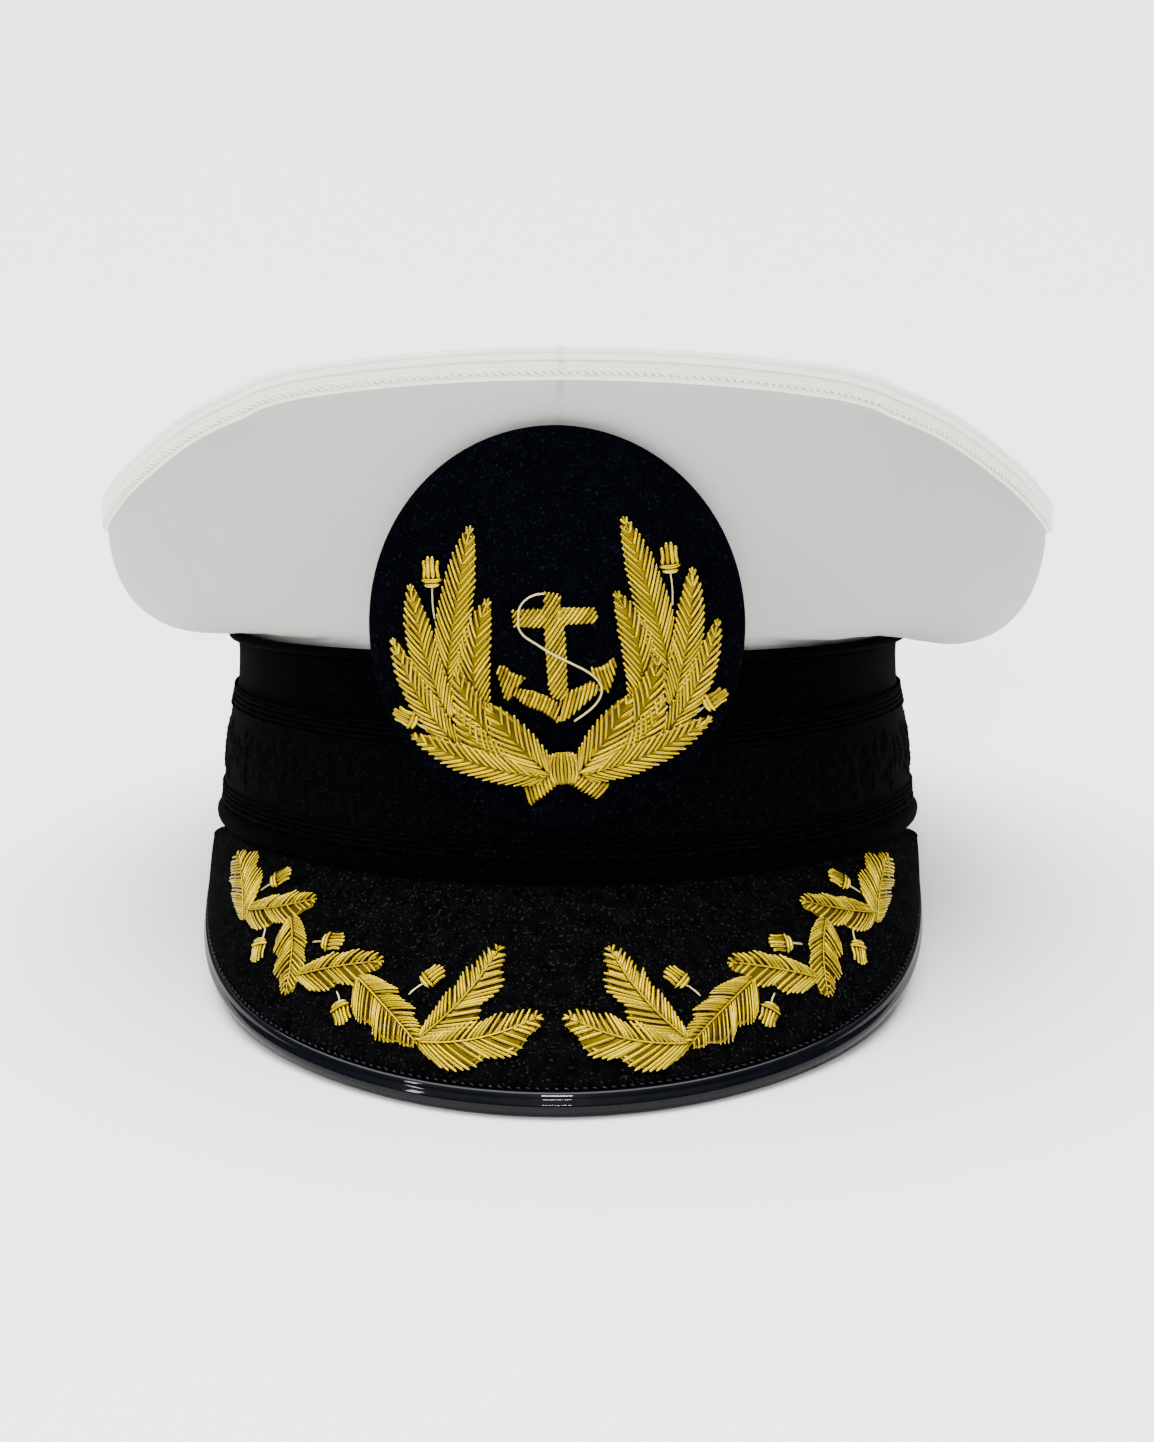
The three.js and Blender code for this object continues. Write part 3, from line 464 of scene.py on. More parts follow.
def band_point(angle, height, offset):
    share = np.clip(np.asarray(height, float) / BAND_HEIGHT, -1, 1)
    half_width = HEAD_HALF_WIDTH + BAND_WALL - SIDE_TAPER * share + offset
    half_length = HEAD_HALF_LENGTH + BAND_WALL - END_TAPER * share + offset
    x, y = oval(half_width, half_length, half_length, angle)
    front = np.maximum(np.cos(np.radians(angle)), 0) ** DIP_SHARPNESS
    dip = RIM_DIP * front * (1 - share**DIP_HOLD)
    return np.stack(np.broadcast_arrays(x, y, height - dip), axis=-1)


ROUND = 400
around = np.linspace(0, 360, ROUND, endpoint=False)
girth = 2 * math.pi * math.sqrt((HEAD_HALF_WIDTH**2 + HEAD_HALF_LENGTH**2) / 2)
print("girth of the band:", round(girth), "mm")

# %% [markdown]
# The crown is a saddle: high in front, low over the ears. Scaling one profile round the head
# can't give that, because its fullness changes too. So its shape is a short table of sections,
# each a curve with two handles, and a smooth curve runs through each column.

# %% The crown's shape
CROWN_RISE, CROWN_SHIFT = 69.5, 2.4
CROWN_HALF_WIDTH, CROWN_FRONT, CROWN_BACK = 121.6, 117.5, 126.0
COVER_WALL, COVER_TUCK = 1.8, 1.0
ROLL_RADIUS, ROLL_OUT = 1.2, 0.5
COVER_FOOT = BAND_HEIGHT + GAP + 2 * ROLL_RADIUS + GAP + 1.0
PIPING_RADIUS = 1.7
# angle, rise, way out and up to the first handle, and to the second. A rise and a way up are
# shares of the crown's rise there, and a way out is a share of the overhang.
RISE, OUT_1, UP_1, OUT_2, UP_2 = 1, 2, 3, 4, 5
CROWN_SECTIONS = np.array([
    (0, 1.0, 0.12, 0.33, 0.55, 0.74),
    (30, 0.935, 0.22, 0.25, 0.74, 0.6),
    (45, 0.815, 0.3, 0.04, 0.94, 0.34),
    (60, 0.635, 0.34, 0.04, 1.02, 0.04),
    (75, 0.48, 0.34, -0.14, 1.04, -0.14),
    (90, 0.41, 0.32, -0.26, 1.0, -0.24),
    (120, 0.365, 0.3, -0.08, 0.98, -0.4),
    (150, 0.375, 0.3, 0.0, 0.95, -0.1),
    (180, 0.4, 0.3, 0.04, 0.95, 0.05),
    (210, 0.375, 0.3, 0.0, 0.95, -0.1),
    (240, 0.365, 0.33, -0.06, 0.98, -0.2),
    (270, 0.41, 0.34, -0.12, 1.0, -0.04),
    (285, 0.48, 0.34, -0.04, 1.04, 0.02),
    (300, 0.635, 0.34, 0.06, 1.02, 0.08),
    (315, 0.815, 0.3, 0.08, 0.92, 0.36),
    (330, 0.935, 0.22, 0.25, 0.74, 0.6),
])


def smooth_column(angles, values, at):
    """A smooth curve through (angle, value) pairs, read at the angles given."""
    k = np.clip(np.searchsorted(angles, at, side="right") - 1, 1, len(angles) - 3)
    a, b, c, d = (k + i for i in (-1, 0, 1, 2))
    span = angles[c] - angles[b]
    t = (at - angles[b]) / span
    start = (values[c] - values[a]) / np.maximum(angles[c] - angles[a], 1) * span
    end = (values[d] - values[b]) / np.maximum(angles[d] - angles[b], 1) * span
    t2, t3 = t * t, t * t * t
    first = values[b] * (2 * t3 - 3 * t2 + 1) + start * (t3 - 2 * t2 + t)
    return first + values[c] * (3 * t2 - 2 * t3) + end * (t3 - t2)


def crown_value(column, angle):
    angles = np.concatenate([CROWN_SECTIONS[:, 0] + turn for turn in (-360, 0, 360)])
    values = np.tile(CROWN_SECTIONS[:, column], 3)
    return smooth_column(angles, values, np.mod(angle, 360.0))


# %% [markdown]
# A point of the cover's wall lies on the profile at its angle, between the band and the crown's
# edge. inset moves it square into the cloth, so the same function gives the inner face.

# %% The cover's wall
def crown_edge(angle):
    x, y = oval(CROWN_HALF_WIDTH, CROWN_FRONT, CROWN_BACK, angle)
    return x + CROWN_SHIFT, y


def cover_point(angle, share, inset):
    """A point of the cover's wall: share 0 at the band, 1 at the crown's edge."""
    rise = CROWN_RISE * crown_value(RISE, angle)
    foot = band_point(angle, BAND_HEIGHT, -COVER_TUCK)
    edge_x, edge_y = crown_edge(angle)
    overhang = np.hypot(edge_x - foot[..., 0], edge_y - foot[..., 1])
    first_out, first_up = overhang * crown_value(OUT_1, angle), rise * crown_value(UP_1, angle)
    last_out, last_up = overhang * crown_value(OUT_2, angle), rise * crown_value(UP_2, angle)
    s, r = share, 1 - share
    out = 3 * s * r * r * first_out + 3 * s * s * r * last_out + s**3 * overhang
    up = 3 * s * r * r * first_up + 3 * s * s * r * last_up + s**3 * rise
    along_out = r * r * first_out + 2 * s * r * (last_out - first_out) + s * s * (overhang - last_out)
    along_up = r * r * first_up + 2 * s * r * (last_up - first_up) + s * s * (rise - last_up)
    length = np.hypot(along_out, along_up)
    blend = (out - inset * along_up / length) / overhang
    x = foot[..., 0] + (edge_x - foot[..., 0]) * blend
    y = foot[..., 1] + (edge_y - foot[..., 1]) * blend
    return np.stack([x, y, COVER_FOOT + up + inset * along_out / length], axis=-1)


def crown_facing(angle):
    """The level way out of the crown's edge."""
    ahead = np.stack(crown_edge(angle + 1), -1) - np.stack(crown_edge(angle - 1), -1)
    facing = unit(np.stack([ahead[..., 1], -ahead[..., 0]], -1))
    return np.concatenate([facing, np.zeros(facing.shape[:-1] + (1,))], -1)


# %% [markdown]
# A stiff front panel ends at a seam on each side, where the edge of the crown makes a small
# step. The step is a smooth switch, so everything near the edge can use it.

# %% The edge of the crown
SEAM_ANGLE, SEAM_SOFTNESS, SEAM_STEP = 38.0, 0.4, 0.55


def front_step(angle):
    """1 on the stiff front of the crown, 0 behind its two seams."""
    away = np.abs(np.mod(angle + 180, 360) - 180)
    return 1 / (1 + np.exp((away - SEAM_ANGLE) / SEAM_SOFTNESS))


def seam_rise(angle):
    return SEAM_STEP * (front_step(angle) - 0.5)


def edge_point(angle):
    x, y = crown_edge(angle)
    height = COVER_FOOT + CROWN_RISE * crown_value(RISE, angle) + seam_rise(angle)
    return np.stack([x, y, height], axis=-1)


# %% [markdown]
# The cover's side is one smooth stretched cloth, which hangs in very shallow waves and is
# drawn in at its foot over the ears. Nothing hangs free, so a simulation would only give the
# same taut surface: the waves and the small tucks are added to it as two sine patterns.

# %% Cover side
SIDE_STEPS, STEP_CROWDING = 46, 1.7
UNDER_PIPING = 0.9
WAVE_DEPTH, WAVES, WAVE_SLANT = 0.25, 9, 3
TUCK_DEPTH, TUCKS, TUCK_REACH = 0.35, 46, 5


def ears(angle):
    """1 over the ears, 0 in front and behind."""
    return np.sin(np.radians(angle)) ** 2


last_handle = 1 - crown_value(UP_2, around)
rise_per_share = 3 * CROWN_RISE * crown_value(RISE, around) * last_handle
top_share = 1 - (2 * PIPING_RADIUS - UNDER_PIPING) / rise_per_share
shares = 1 - np.linspace(1, 0, SIDE_STEPS) ** STEP_CROWDING
share_grid = shares[None] * top_share[:, None]
angle_grid = around[:, None] + 0 * share_grid
turn_grid = np.radians(angle_grid)
bare = cover_point(angle_grid, share_grid, 0.0)
pieces_along = np.linalg.norm(np.diff(bare, axis=1), axis=-1)
along_wall = np.concatenate([np.zeros((ROUND, 1)), np.cumsum(pieces_along, axis=1)], axis=1)
waves = WAVE_DEPTH * np.sin(turn_grid * WAVES + WAVE_SLANT * share_grid)
waves = waves * np.sin(math.pi * share_grid)
tucks = TUCK_DEPTH * np.sin(turn_grid * TUCKS) * np.exp(-along_wall / TUCK_REACH) * ears(angle_grid)
outer = cover_point(angle_grid, share_grid, -waves - tucks * (along_wall > 0))
inner = cover_point(angle_grid, share_grid, COVER_WALL)
near_edge, near_foot = shares**6, (1 - shares) ** 6
outer[..., 2] += seam_rise(around)[:, None] * near_edge + VELVET_RISE * near_foot
foot_out = band_point(around, BAND_HEIGHT, -COVER_TUCK)
foot_in = band_point(around, BAND_HEIGHT, -COVER_TUCK - COVER_WALL)
foot_out[:, 2] = foot_in[:, 2] = BAND_HEIGHT + GAP
outer = np.concatenate([foot_out[:, None], outer], axis=1)
inner = np.concatenate([foot_in[:, None], inner], axis=1)
side_map = np.stack([angle_grid * girth / 360, along_wall], -1)
side_map = np.concatenate([side_map[:, :1], side_map], axis=1).reshape(-1, 2)
side_cloth = plain(*wall(outer, inner, wrap=True), np.tile(side_map, (2, 1)))
# The side's grey finish is painted shade.
make("cover_side_cloth", side_cloth, "white_cover", "cover_side")

# %% [markdown]
# Along the cover's upper edge runs a narrow folded strip, the seam's own cloth. It stands out a
# little, more on the stiff front, and catches the light above the shade of the side, which the
# side's painted grey deepens: the strip keeps the cloth's own white. It is a thin wall of its own,
# so a small groove stays between it and the piping.

# %% Seam strip
# fall below the edge, way out from the cloth
SEAM_STRIP = [
    (2.75, -0.4), (2.85, 0.3), (3.0, 0.65), (3.2, 0.85), (3.5, 1.0), (3.8, 1.1), (4.0, 1.05), (4.1, 0.8),
]
STRIP_BEHIND, STRIP_DEPTH = 0.55, 0.7
fall, out = np.array(SEAM_STRIP).T
strip_share = 1 - fall / rise_per_share[:, None]
strip_angle = around[:, None] + 0 * strip_share
standing = STRIP_BEHIND + (1 - STRIP_BEHIND) * front_step(strip_angle)
strip_out = cover_point(strip_angle, strip_share, -out * standing)
strip_in = cover_point(strip_angle, strip_share, STRIP_DEPTH)
for face in (strip_out, strip_in):
    face[..., 2] += seam_rise(around)[:, None]
make("seam_strip", plain(*wall(strip_out, strip_in, wrap=True)), "white_piping")

# %% [markdown]
# The top is pulled tight over a wire in the crown's edge, so it sinks between the high front
# and the low sides like a saddle. Rings that shrink from the edge to the middle give it, and
# each keeps a share of the edge's rise.

# %% Cover top
TOP_RINGS, TOP_CENTRE = 36, 0.004
TOP_HOLLOW, TOP_CURVE, TOP_INSET = 0.42, 1.6, 0.2
middle_height = COVER_FOOT + CROWN_RISE * TOP_HOLLOW


def top_grid(drop):
    rim = edge_point(around) - crown_facing(around) * (PIPING_RADIUS + TOP_INSET)
    share = np.linspace(1, TOP_CENTRE, TOP_RINGS)
    grid = rim[:, None] * share[:, None]
    height = rim[:, None, 2] + PIPING_RADIUS
    grid[..., 2] = middle_height + (height - middle_height) * share**TOP_CURVE - drop
    return grid


points, faces = wall(top_grid(0), top_grid(COVER_WALL), wrap=True)
# The top gets the same grey finish, painted shade.
make("cover_top_cloth", plain(points, faces[:, ::-1], points[:, :2]), "white_cover", "cover_top")

# %% [markdown]
# The crown's edge is finished with two rolls of piping, one above the other. Fine ridges run
# round each, where the cloth is pulled over its cord. Slanted stitches hold the lower roll to
# the lip under it.

# %% Piping
PIPING_SIDES, PIPING_RIDGES = 36, 9


def ring_tube(centres, outwards, half_out, half_up, sides, ridges=0.0):
    """A closed tube round the cap with an upright oval section. ridges run along it."""
    turn = np.linspace(0, 2 * math.pi, sides, endpoint=False)
    size = 1 + ridges * np.cos(PIPING_RIDGES * turn)
    each = (len(centres),)
    half_out, half_up = (np.broadcast_to(half, each)[:, None] for half in (half_out, half_up))
    points = centres[:, None] + outwards[:, None] * (half_out * np.cos(turn) * size)[..., None]
    points[..., 2] += half_up * np.sin(turn) * size
    u = np.repeat(np.arange(len(centres)) * girth / len(centres), sides)
    v = np.tile(np.arange(sides) * 8.0 / sides, len(centres))
    faces = grid_faces(len(centres), sides, wrap_rows=True, wrap_columns=True)
    return plain(points.reshape(-1, 3), faces, np.stack([u, v], axis=-1))


facing = crown_facing(around)
half_out, half_up = PIPING_RADIUS + 0.1, PIPING_RADIUS + 0.25
above_edge = np.array([0, 0, half_up])
upper = edge_point(around) + facing * 0.3 * front_step(around)[:, None] + above_edge
roll_above = ring_tube(upper, facing, half_out, half_up, PIPING_SIDES, 0.02)
make("piping_upper", roll_above, "white_piping", "crown_piping")
half_out, half_up = PIPING_RADIUS * 0.95, PIPING_RADIUS * 0.85
lower = edge_point(around) - np.array([0, 0, PIPING_RADIUS * 0.75])
roll_below = ring_tube(lower, facing, half_out, half_up, PIPING_SIDES, 0.015)
make("piping_lower", roll_below, "white_piping")

STITCH_COUNT, STITCH_LENGTH, STITCH_THICKNESS, STITCH_FALL = 400, 1.9, 0.36, 2.75
CROWN_MEAN_RADIUS, DEGREES_PER_RADIAN = 118, 57.3
stitch_angles = np.linspace(0, 360, STITCH_COUNT, endpoint=False)
steps = np.linspace(-0.5, 0.5, 7)
angle = stitch_angles[:, None] + steps * STITCH_LENGTH / CROWN_MEAN_RADIUS * DEGREES_PER_RADIAN
fall = STITCH_FALL + steps + 0 * angle
out = 0.95 - 0.75 * steps + 0.35 * np.cos(steps * math.pi)
paths = edge_point(angle) + crown_facing(angle) * out[..., None]
paths[..., 2] -= fall
thickness = STITCH_THICKNESS * (0.5 + 0.5 * np.cos(steps * math.pi)) + 0 * angle
stitches = tubes(paths, crown_facing(angle), thickness, 6)
make("crown_stitches", stitches, "white_piping")

# %% [markdown]
# The band is velvet over a stiff wall, with a small rolled edge above, which flares a little
# over the ears, and a fat rolled edge below. The lace covers most of it. The wall reaches down
# a little further behind the peak, so no light shows between the two.

# %% Band
EAR_FLARE, EAR_ROLL, EAR_DROP = 1.0, 0.8, 0.7
BEHIND_PEAK = 1.6
FOOT_ROLL_OUT, FOOT_ROLL_UP, FOOT_ROLL_SHIFT, FRONT_SWELL = 2.0, 2.3, 0.6, 0.45
BAND_ROLL_SIDES = 18
heights = np.linspace(0, BAND_HEIGHT + VELVET_RISE, 30)
up_share = heights / heights[-1]
over_peak = np.clip(6 * np.cos(np.radians(around)), 0, 1)[:, None]
flare = EAR_FLARE * ears(around[:, None]) * up_share**8
outer = band_point(around[:, None], heights[None], flare)
inner = band_point(around[:, None], heights[None], -BAND_WALL)
for face in (outer, inner):
    face[..., 2] -= BEHIND_PEAK * over_peak * (1 - up_share) ** 8
band_map = np.stack(np.broadcast_arrays(around[:, None] * girth / 360, heights[None]), -1)
velvet = plain(*wall(outer, inner, wrap=True), np.tile(band_map.reshape(-1, 2), (2, 1)))
make("band_velvet", velvet, "black_cloth", "band")

outwards = unit(band_point(around, 0, 1) - band_point(around, 0, 0))
centres = band_point(around, BAND_HEIGHT, ROLL_OUT + EAR_ROLL * ears(around))
centres[:, 2] += VELVET_RISE + GAP + ROLL_RADIUS - EAR_DROP * ears(around)
half_out = ROLL_RADIUS + EAR_ROLL * ears(around)
edge_roll = ring_tube(centres, outwards, half_out, ROLL_RADIUS, BAND_ROLL_SIDES)
make("band_edge_above", edge_roll, "black_cloth", "band_top_roll")
centres = band_point(around, FOOT_ROLL_UP, GAP + FOOT_ROLL_SHIFT)
half_up = FOOT_ROLL_UP + FRONT_SWELL * over_peak[:, 0]
foot_roll = ring_tube(centres, outwards, FOOT_ROLL_OUT, half_up, BAND_ROLL_SIDES)
make("band_edge_below", foot_roll, "black_cloth", "band_bottom_roll")

# %% [markdown]
# The lace is a broad mohair braid, joined end to end at the front, behind the badge. Woven
# flowers stand a little out of its ribbed ground. They are real relief here: a bump would not
# show on black cloth, but a moved surface does, at its silhouette and where light grazes it.

# %% Lace ground
LACE_FOOT, LACE_WIDTH, LACE_WALL, LACE_SWELL, LACE_JOINT = 5.3, 29.0, 1.4, 0.5, 0.6
LACE_ROUND, LACE_ROWS = 1240, 56
FLOWER_REPEAT, FLOWER_RADIUS, LEAF_RADIUS = 40.0, 6.2, 3.9
RELIEF, RIB_RELIEF, RIB_PITCH = 0.55, 0.1, 1.6
# way along and up from the flower's middle, turn
LACE_LEAVES = ((10.5, 3.6, 0.5), (11.0, -4.2, 1.2), (17.5, 0.5, 0.1))


def petals(x, y, radius, count, turn):
    """Height of a small woven flower with its middle at 0, 0."""
    distance = np.hypot(x, y)
    reach = radius * (0.68 + 0.32 * np.cos(count * (np.arctan2(y, x) + turn)))
    return 1 / (1 + np.exp((distance - reach) / 0.4))


def lace_relief(along, up):
    """Height of the woven pattern, 0 to 1, at millimetres along and up the lace."""
    x = np.mod(along, FLOWER_REPEAT) - FLOWER_REPEAT / 2
    y = up - LACE_WIDTH / 2
    height = petals(x, y, FLOWER_RADIUS, 5, 0.3)
    for way in (-1, 1):
        for leaf_x, leaf_y, turn in LACE_LEAVES:
            leaf = petals(x - way * leaf_x, y - leaf_y, LEAF_RADIUS, 3, turn * way)
            height = np.maximum(height, leaf)
    knots = 0.5 + 0.5 * np.sin(along * 2.6 + 1.1 * np.sin(up * 1.9)) * np.sin(up * 3.1)
    return height * (0.55 + 0.45 * knots)


def lace_out(share):
    """How far the lace stands off the band, at a share of its width from its foot."""
    return GAP + LACE_WALL * (1 - 0.55 * share**3) + LACE_SWELL * np.sin(math.pi * share)


slit = math.degrees(LACE_JOINT / 2 / (HEAD_HALF_WIDTH + BAND_WALL))
lace_angles = np.linspace(slit, 360 - slit, LACE_ROUND)[:, None]
lace_shares = np.linspace(0, 1, LACE_ROWS)[None]
along = lace_angles * girth / 360
up = lace_shares * LACE_WIDTH
relief = RELIEF * lace_relief(along, up) + RIB_RELIEF * np.sin(2 * math.pi * up / RIB_PITCH)
outer = band_point(lace_angles, LACE_FOOT + up, lace_out(lace_shares) - 0.4 + relief)
inner = band_point(lace_angles, LACE_FOOT + np.array([[LACE_WIDTH, 0.0]]), GAP)
section = np.concatenate([outer, inner], axis=1)
faces = grid_faces(LACE_ROUND, section.shape[1], wrap_columns=True)
ends = end_caps(LACE_ROUND, section.shape[1])
lace_up = np.concatenate([up, [[LACE_WIDTH, 0.0]]], axis=1)
lace_map = np.stack(np.broadcast_arrays(along, lace_up), -1).reshape(-1, 2)
make("lace_ground", plain(section.reshape(-1, 3), faces, lace_map, ends), "lace", "band_lace")


# %% [markdown]
# Fine cords run along both edges of the lace, small loops finish it above, and longer ones hang
# in scallops below. The loops are half circles, drawn as one row of little tubes each.

# %% Lace cords and loops
def lace_out_at(height):
    return lace_out(np.clip((height - LACE_FOOT) / LACE_WIDTH, 0, 1))


def lace_cord(height, radius):
    centres = band_point(around, height, lace_out_at(height) - 0.15)
    return ring_tube(centres, outwards, radius, radius, 8)


# height on the lace, radius
LACE_CORDS = [(0.5, 0.55)] + [(height, 0.42) for height in (1.9, 3.2, 4.5, 24.9, 26.2, 27.4, 28.6)]
cords = join([lace_cord(LACE_FOOT + height, radius) for height, radius in LACE_CORDS])
make("lace_cords", cords, "lace")


def lace_loops(count, height, reach, lean):
    """A row of loops along an edge of the lace. reach is how far they stand off it."""
    turn = np.linspace(0, math.pi, 11)
    angle = np.linspace(0, 360, count, endpoint=False)[:, None] + lean - np.cos(turn) * 178 / count
    rise = height + np.sin(turn) * reach + 0 * angle
    facing = band_point(angle, rise, 5.0) - band_point(angle, rise, 4.0)
    paths = band_point(angle, rise, lace_out_at(height) - 0.1)
    return tubes(paths, unit(facing), LOOP_WIRE + 0 * angle, 6)


PICOTS, SCALLOPS, LOOP_WIRE = 236, 62, 0.36
loops = [
    lace_loops(PICOTS, LACE_FOOT + LACE_WIDTH - 0.2, 0.95, 0.0),
    lace_loops(SCALLOPS, LACE_FOOT + 0.5, -1.5, 180 / SCALLOPS),
    lace_loops(SCALLOPS, LACE_FOOT + 1.5, -1.3, 180 / SCALLOPS),
]
make("lace_loops", join(loops), "lace")

# %% [markdown]
# The peak falls steeply in front and even more at the sides, and its bound edge lies on the
# table all along. Its length at each angle follows from that, so it is worked out rather than
# drawn: the fall needed to reach the table, divided by the slope. The slopes are a table, in
# degrees, whose last row stands twice for the sake of the smooth curve.

# %% The peak's shape
PEAK_SPREAD = 75.0
PEAK_FELT, PEAK_BOARD, PEAK_CAMBER = 1.2, 1.8, 2.0
PEAK_ROOT_OUT, HORN_SHARE, HORN_SHARPNESS = -0.6, 0.2, 3.5
BINDING_RADIUS, BINDING_WIDTH = 2.7, 5.0
PEAK_FACE = PEAK_BOARD / 2 + GAP + PEAK_FELT
SLOPE_ANGLES = np.array([-30.0, 0, 30, 45, 60, 75, 75.001])
SLOPES = np.array([55.6, 52.3, 55.6, 58.1, 63, 71.7, 71.7])
FLOOR_UP = np.array([0, -math.sin(REST_TILT), math.cos(REST_TILT)])
RIM_BACK = HEAD_HALF_LENGTH + BAND_WALL + GAP
DOWN = np.array([0, 0, -1.0])


def band_facing(angle):
    a = np.radians(angle)
    x = np.sin(a) / (HEAD_HALF_WIDTH + BAND_WALL)
    y = -np.cos(a) / (HEAD_HALF_LENGTH + BAND_WALL)
    return unit(np.stack([x, y, 0 * x], axis=-1))


def peak_slope(angle):
    return np.radians(smooth_column(SLOPE_ANGLES, SLOPES, np.abs(angle)))


def peak_root(angle):
    root = band_point(angle, 0 * np.asarray(angle, float), PEAK_ROOT_OUT)
    root[..., 2] -= GAP + PEAK_FACE * np.cos(peak_slope(angle))
    return root


def peak_reach(angle):
    slope, facing_y = peak_slope(angle), band_facing(angle)[..., 1]
    tall = np.hypot(FLOOR_UP[1] * facing_y, FLOOR_UP[2]) * BINDING_RADIUS
    above = peak_root(angle) @ FLOOR_UP + RIM_BACK * math.sin(REST_TILT) - tall
    fall = np.sin(slope) * FLOOR_UP[2] - facing_y * np.cos(slope) * FLOOR_UP[1]
    horn = (np.abs(angle) / PEAK_SPREAD) ** HORN_SHARPNESS
    return above / fall * np.maximum(np.sqrt(np.maximum(1 - horn, 0)), HORN_SHARE)


def peak_axes(angle):
    """The way down the peak and the way square out of it."""
    slope, out = peak_slope(angle)[..., None], band_facing(angle)
    return out * np.cos(slope) + DOWN * np.sin(slope), out * np.sin(slope) - DOWN * np.cos(slope)


def peak_point(angle, share, lift):
    along, square = peak_axes(angle)
    camber = PEAK_CAMBER * 4 * share * (1 - share)
    down = (peak_reach(angle) * share)[..., None]
    return peak_root(angle) + along * down + square * (lift + camber)[..., None]


def cloth_end(angle):
    """The share of the peak's length at which the cloth ends, under the binding."""
    return 1 - (BINDING_WIDTH - BINDING_RADIUS + GAP) / peak_reach(angle)


peak_turn = np.linspace(-1, 1, 181)
peak_angles = PEAK_SPREAD * (peak_turn + (np.sin(math.pi / 2 * peak_turn) - peak_turn) * 0.6)
print("peak length in front:", round(float(peak_reach(np.array(0.0)))), "mm")

# %% [markdown]
# The peak is two layers, felt over a stiff board, both closed walls. They are made of the same
# points at two heights, so they can't cut into each other.

# %% Peak cloth and board
PEAK_STEPS = 40


def peak_layer(name, low, high, slot, stands_for):
    share = np.linspace(0, 1, PEAK_STEPS)[None] * cloth_end(peak_angles)[:, None]
    angle = peak_angles[:, None] + 0 * share
    outer, inner = (peak_point(angle, share, lift + 0 * share) for lift in (high, low))
    place = np.stack([angle * 2.0, share * 64], -1).reshape(-1, 2)
    make(name, plain(*wall(outer, inner, wrap=False), np.tile(place, (2, 1))), slot, stands_for)


peak_layer("peak_cloth", PEAK_FACE - PEAK_FELT, PEAK_FACE, "peak_cloth", "peak_felt")
peak_layer("peak_under", -PEAK_BOARD / 2, PEAK_BOARD / 2, "peak_lining", "peak_board")

# %% [markdown]
# The binding is a strip of patent leather folded over the edge and stitched through. It bulges
# in two ridges on top, which catch the light as long thin streaks, and the stitches along its
# inner edge glint.

# %% Binding
flat = BINDING_WIDTH - BINDING_RADIUS
# way out from the binding's inner edge, way up from the cloth
BINDING_TOP = [(0, -0.25), (0.2, 0.35), (0.8, 0.75), (1.5, 0.7), (2.1, 0.25), (2.6, 0.1)]
top = [(-flat + out, PEAK_FACE + up) for out, up in BINDING_TOP]
turn = np.radians(np.linspace(62, -90, 16))
round_edge = [(BINDING_RADIUS * math.cos(t), BINDING_RADIUS * math.sin(t)) for t in turn]
section = np.array(top + round_edge + [(-flat, -BINDING_RADIUS), (-flat, 0)])


def binding_point(angle, out, up):
    along, square = peak_axes(angle)
    edge = peak_point(angle, 1 + 0 * angle, 0 * angle)
    return edge + along * np.asarray(out)[..., None] + square * np.asarray(up)[..., None]


out, up = section[None, :, 0], section[None, :, 1]
grid = binding_point(peak_angles[:, None] + 0 * out, out, up)
faces = grid_faces(len(peak_angles), len(section), wrap_columns=True)
ends = end_caps(len(peak_angles), len(section))
make("peak_binding_strip", plain(grid.reshape(-1, 3), faces, caps=ends), "patent", "peak_binding")

BINDING_STITCHES, THREAD, THREAD_BOW = 150, 0.26, 0.3
arch = np.cos(steps * math.pi)
angle = np.linspace(-PEAK_SPREAD + 3, PEAK_SPREAD - 3, BINDING_STITCHES)[:, None] + steps * 0.62
out = -flat - 0.25 + 0.35 * steps + 0 * angle
paths = binding_point(angle, out, PEAK_FACE + 0.35 + THREAD_BOW * arch + 0 * angle)
square = peak_axes(angle)[1]
thread = tubes(paths, square, THREAD * (0.6 + 0.4 * arch) + 0 * angle, 6)
make("binding_stitches", thread, "patent")

# %% [markdown]
# The badge is a thick felt oval, bent round the front of the cap: more at its foot, on the
# narrow band, than at its head, on the wide crown. A flat oval pushed on would float or cut in.
# Its motif has its own flat axes: the knot of the wreath is at 0, 0, and the whole leans a few
# degrees. on_badge and on_peak give a place on the felt for two shares and a height above it.

# %% The badge's shape
BADGE_HALF_WIDTH, BADGE_HALF_HEIGHT, BADGE_CENTRE, BADGE_WALL = 43.4, 47.3, 56.0, 3.0
BADGE_FOOT_OUT, BADGE_HEAD_OUT, BADGE_HOLLOW = 0.1, 0.4, 2.0
FOOT_BEND, MIDDLE_BEND, HEAD_BEND = 78.0, 86.0, 112.0
badge_foot = -(HEAD_HALF_LENGTH + BAND_WALL + GAP + LACE_WALL + BADGE_FOOT_OUT)
head_share = (BADGE_CENTRE + BADGE_HALF_HEIGHT - COVER_FOOT) / CROWN_RISE
badge_head = float(cover_point(np.array([0.0]), np.array([head_share]), 0.0)[0, 1]) - BADGE_HEAD_OUT


def badge_point(x, y, lift):
    share = (y + BADGE_HALF_HEIGHT) / (2 * BADGE_HALF_HEIGHT)
    hollow = 4 * share * (1 - share)
    bend = FOOT_BEND * (1 - share) * (1 - 2 * share) + MIDDLE_BEND * hollow
    bend = bend + HEAD_BEND * share * (2 * share - 1)
    back = badge_foot + (badge_head - badge_foot) * share + BADGE_HOLLOW * hollow + x * x / (2 * bend)
    facing = unit(np.stack([x / bend, -1 + 0 * x], -1))
    return np.stack([x + facing[..., 0] * lift, back + facing[..., 1] * lift, BADGE_CENTRE + y], -1)


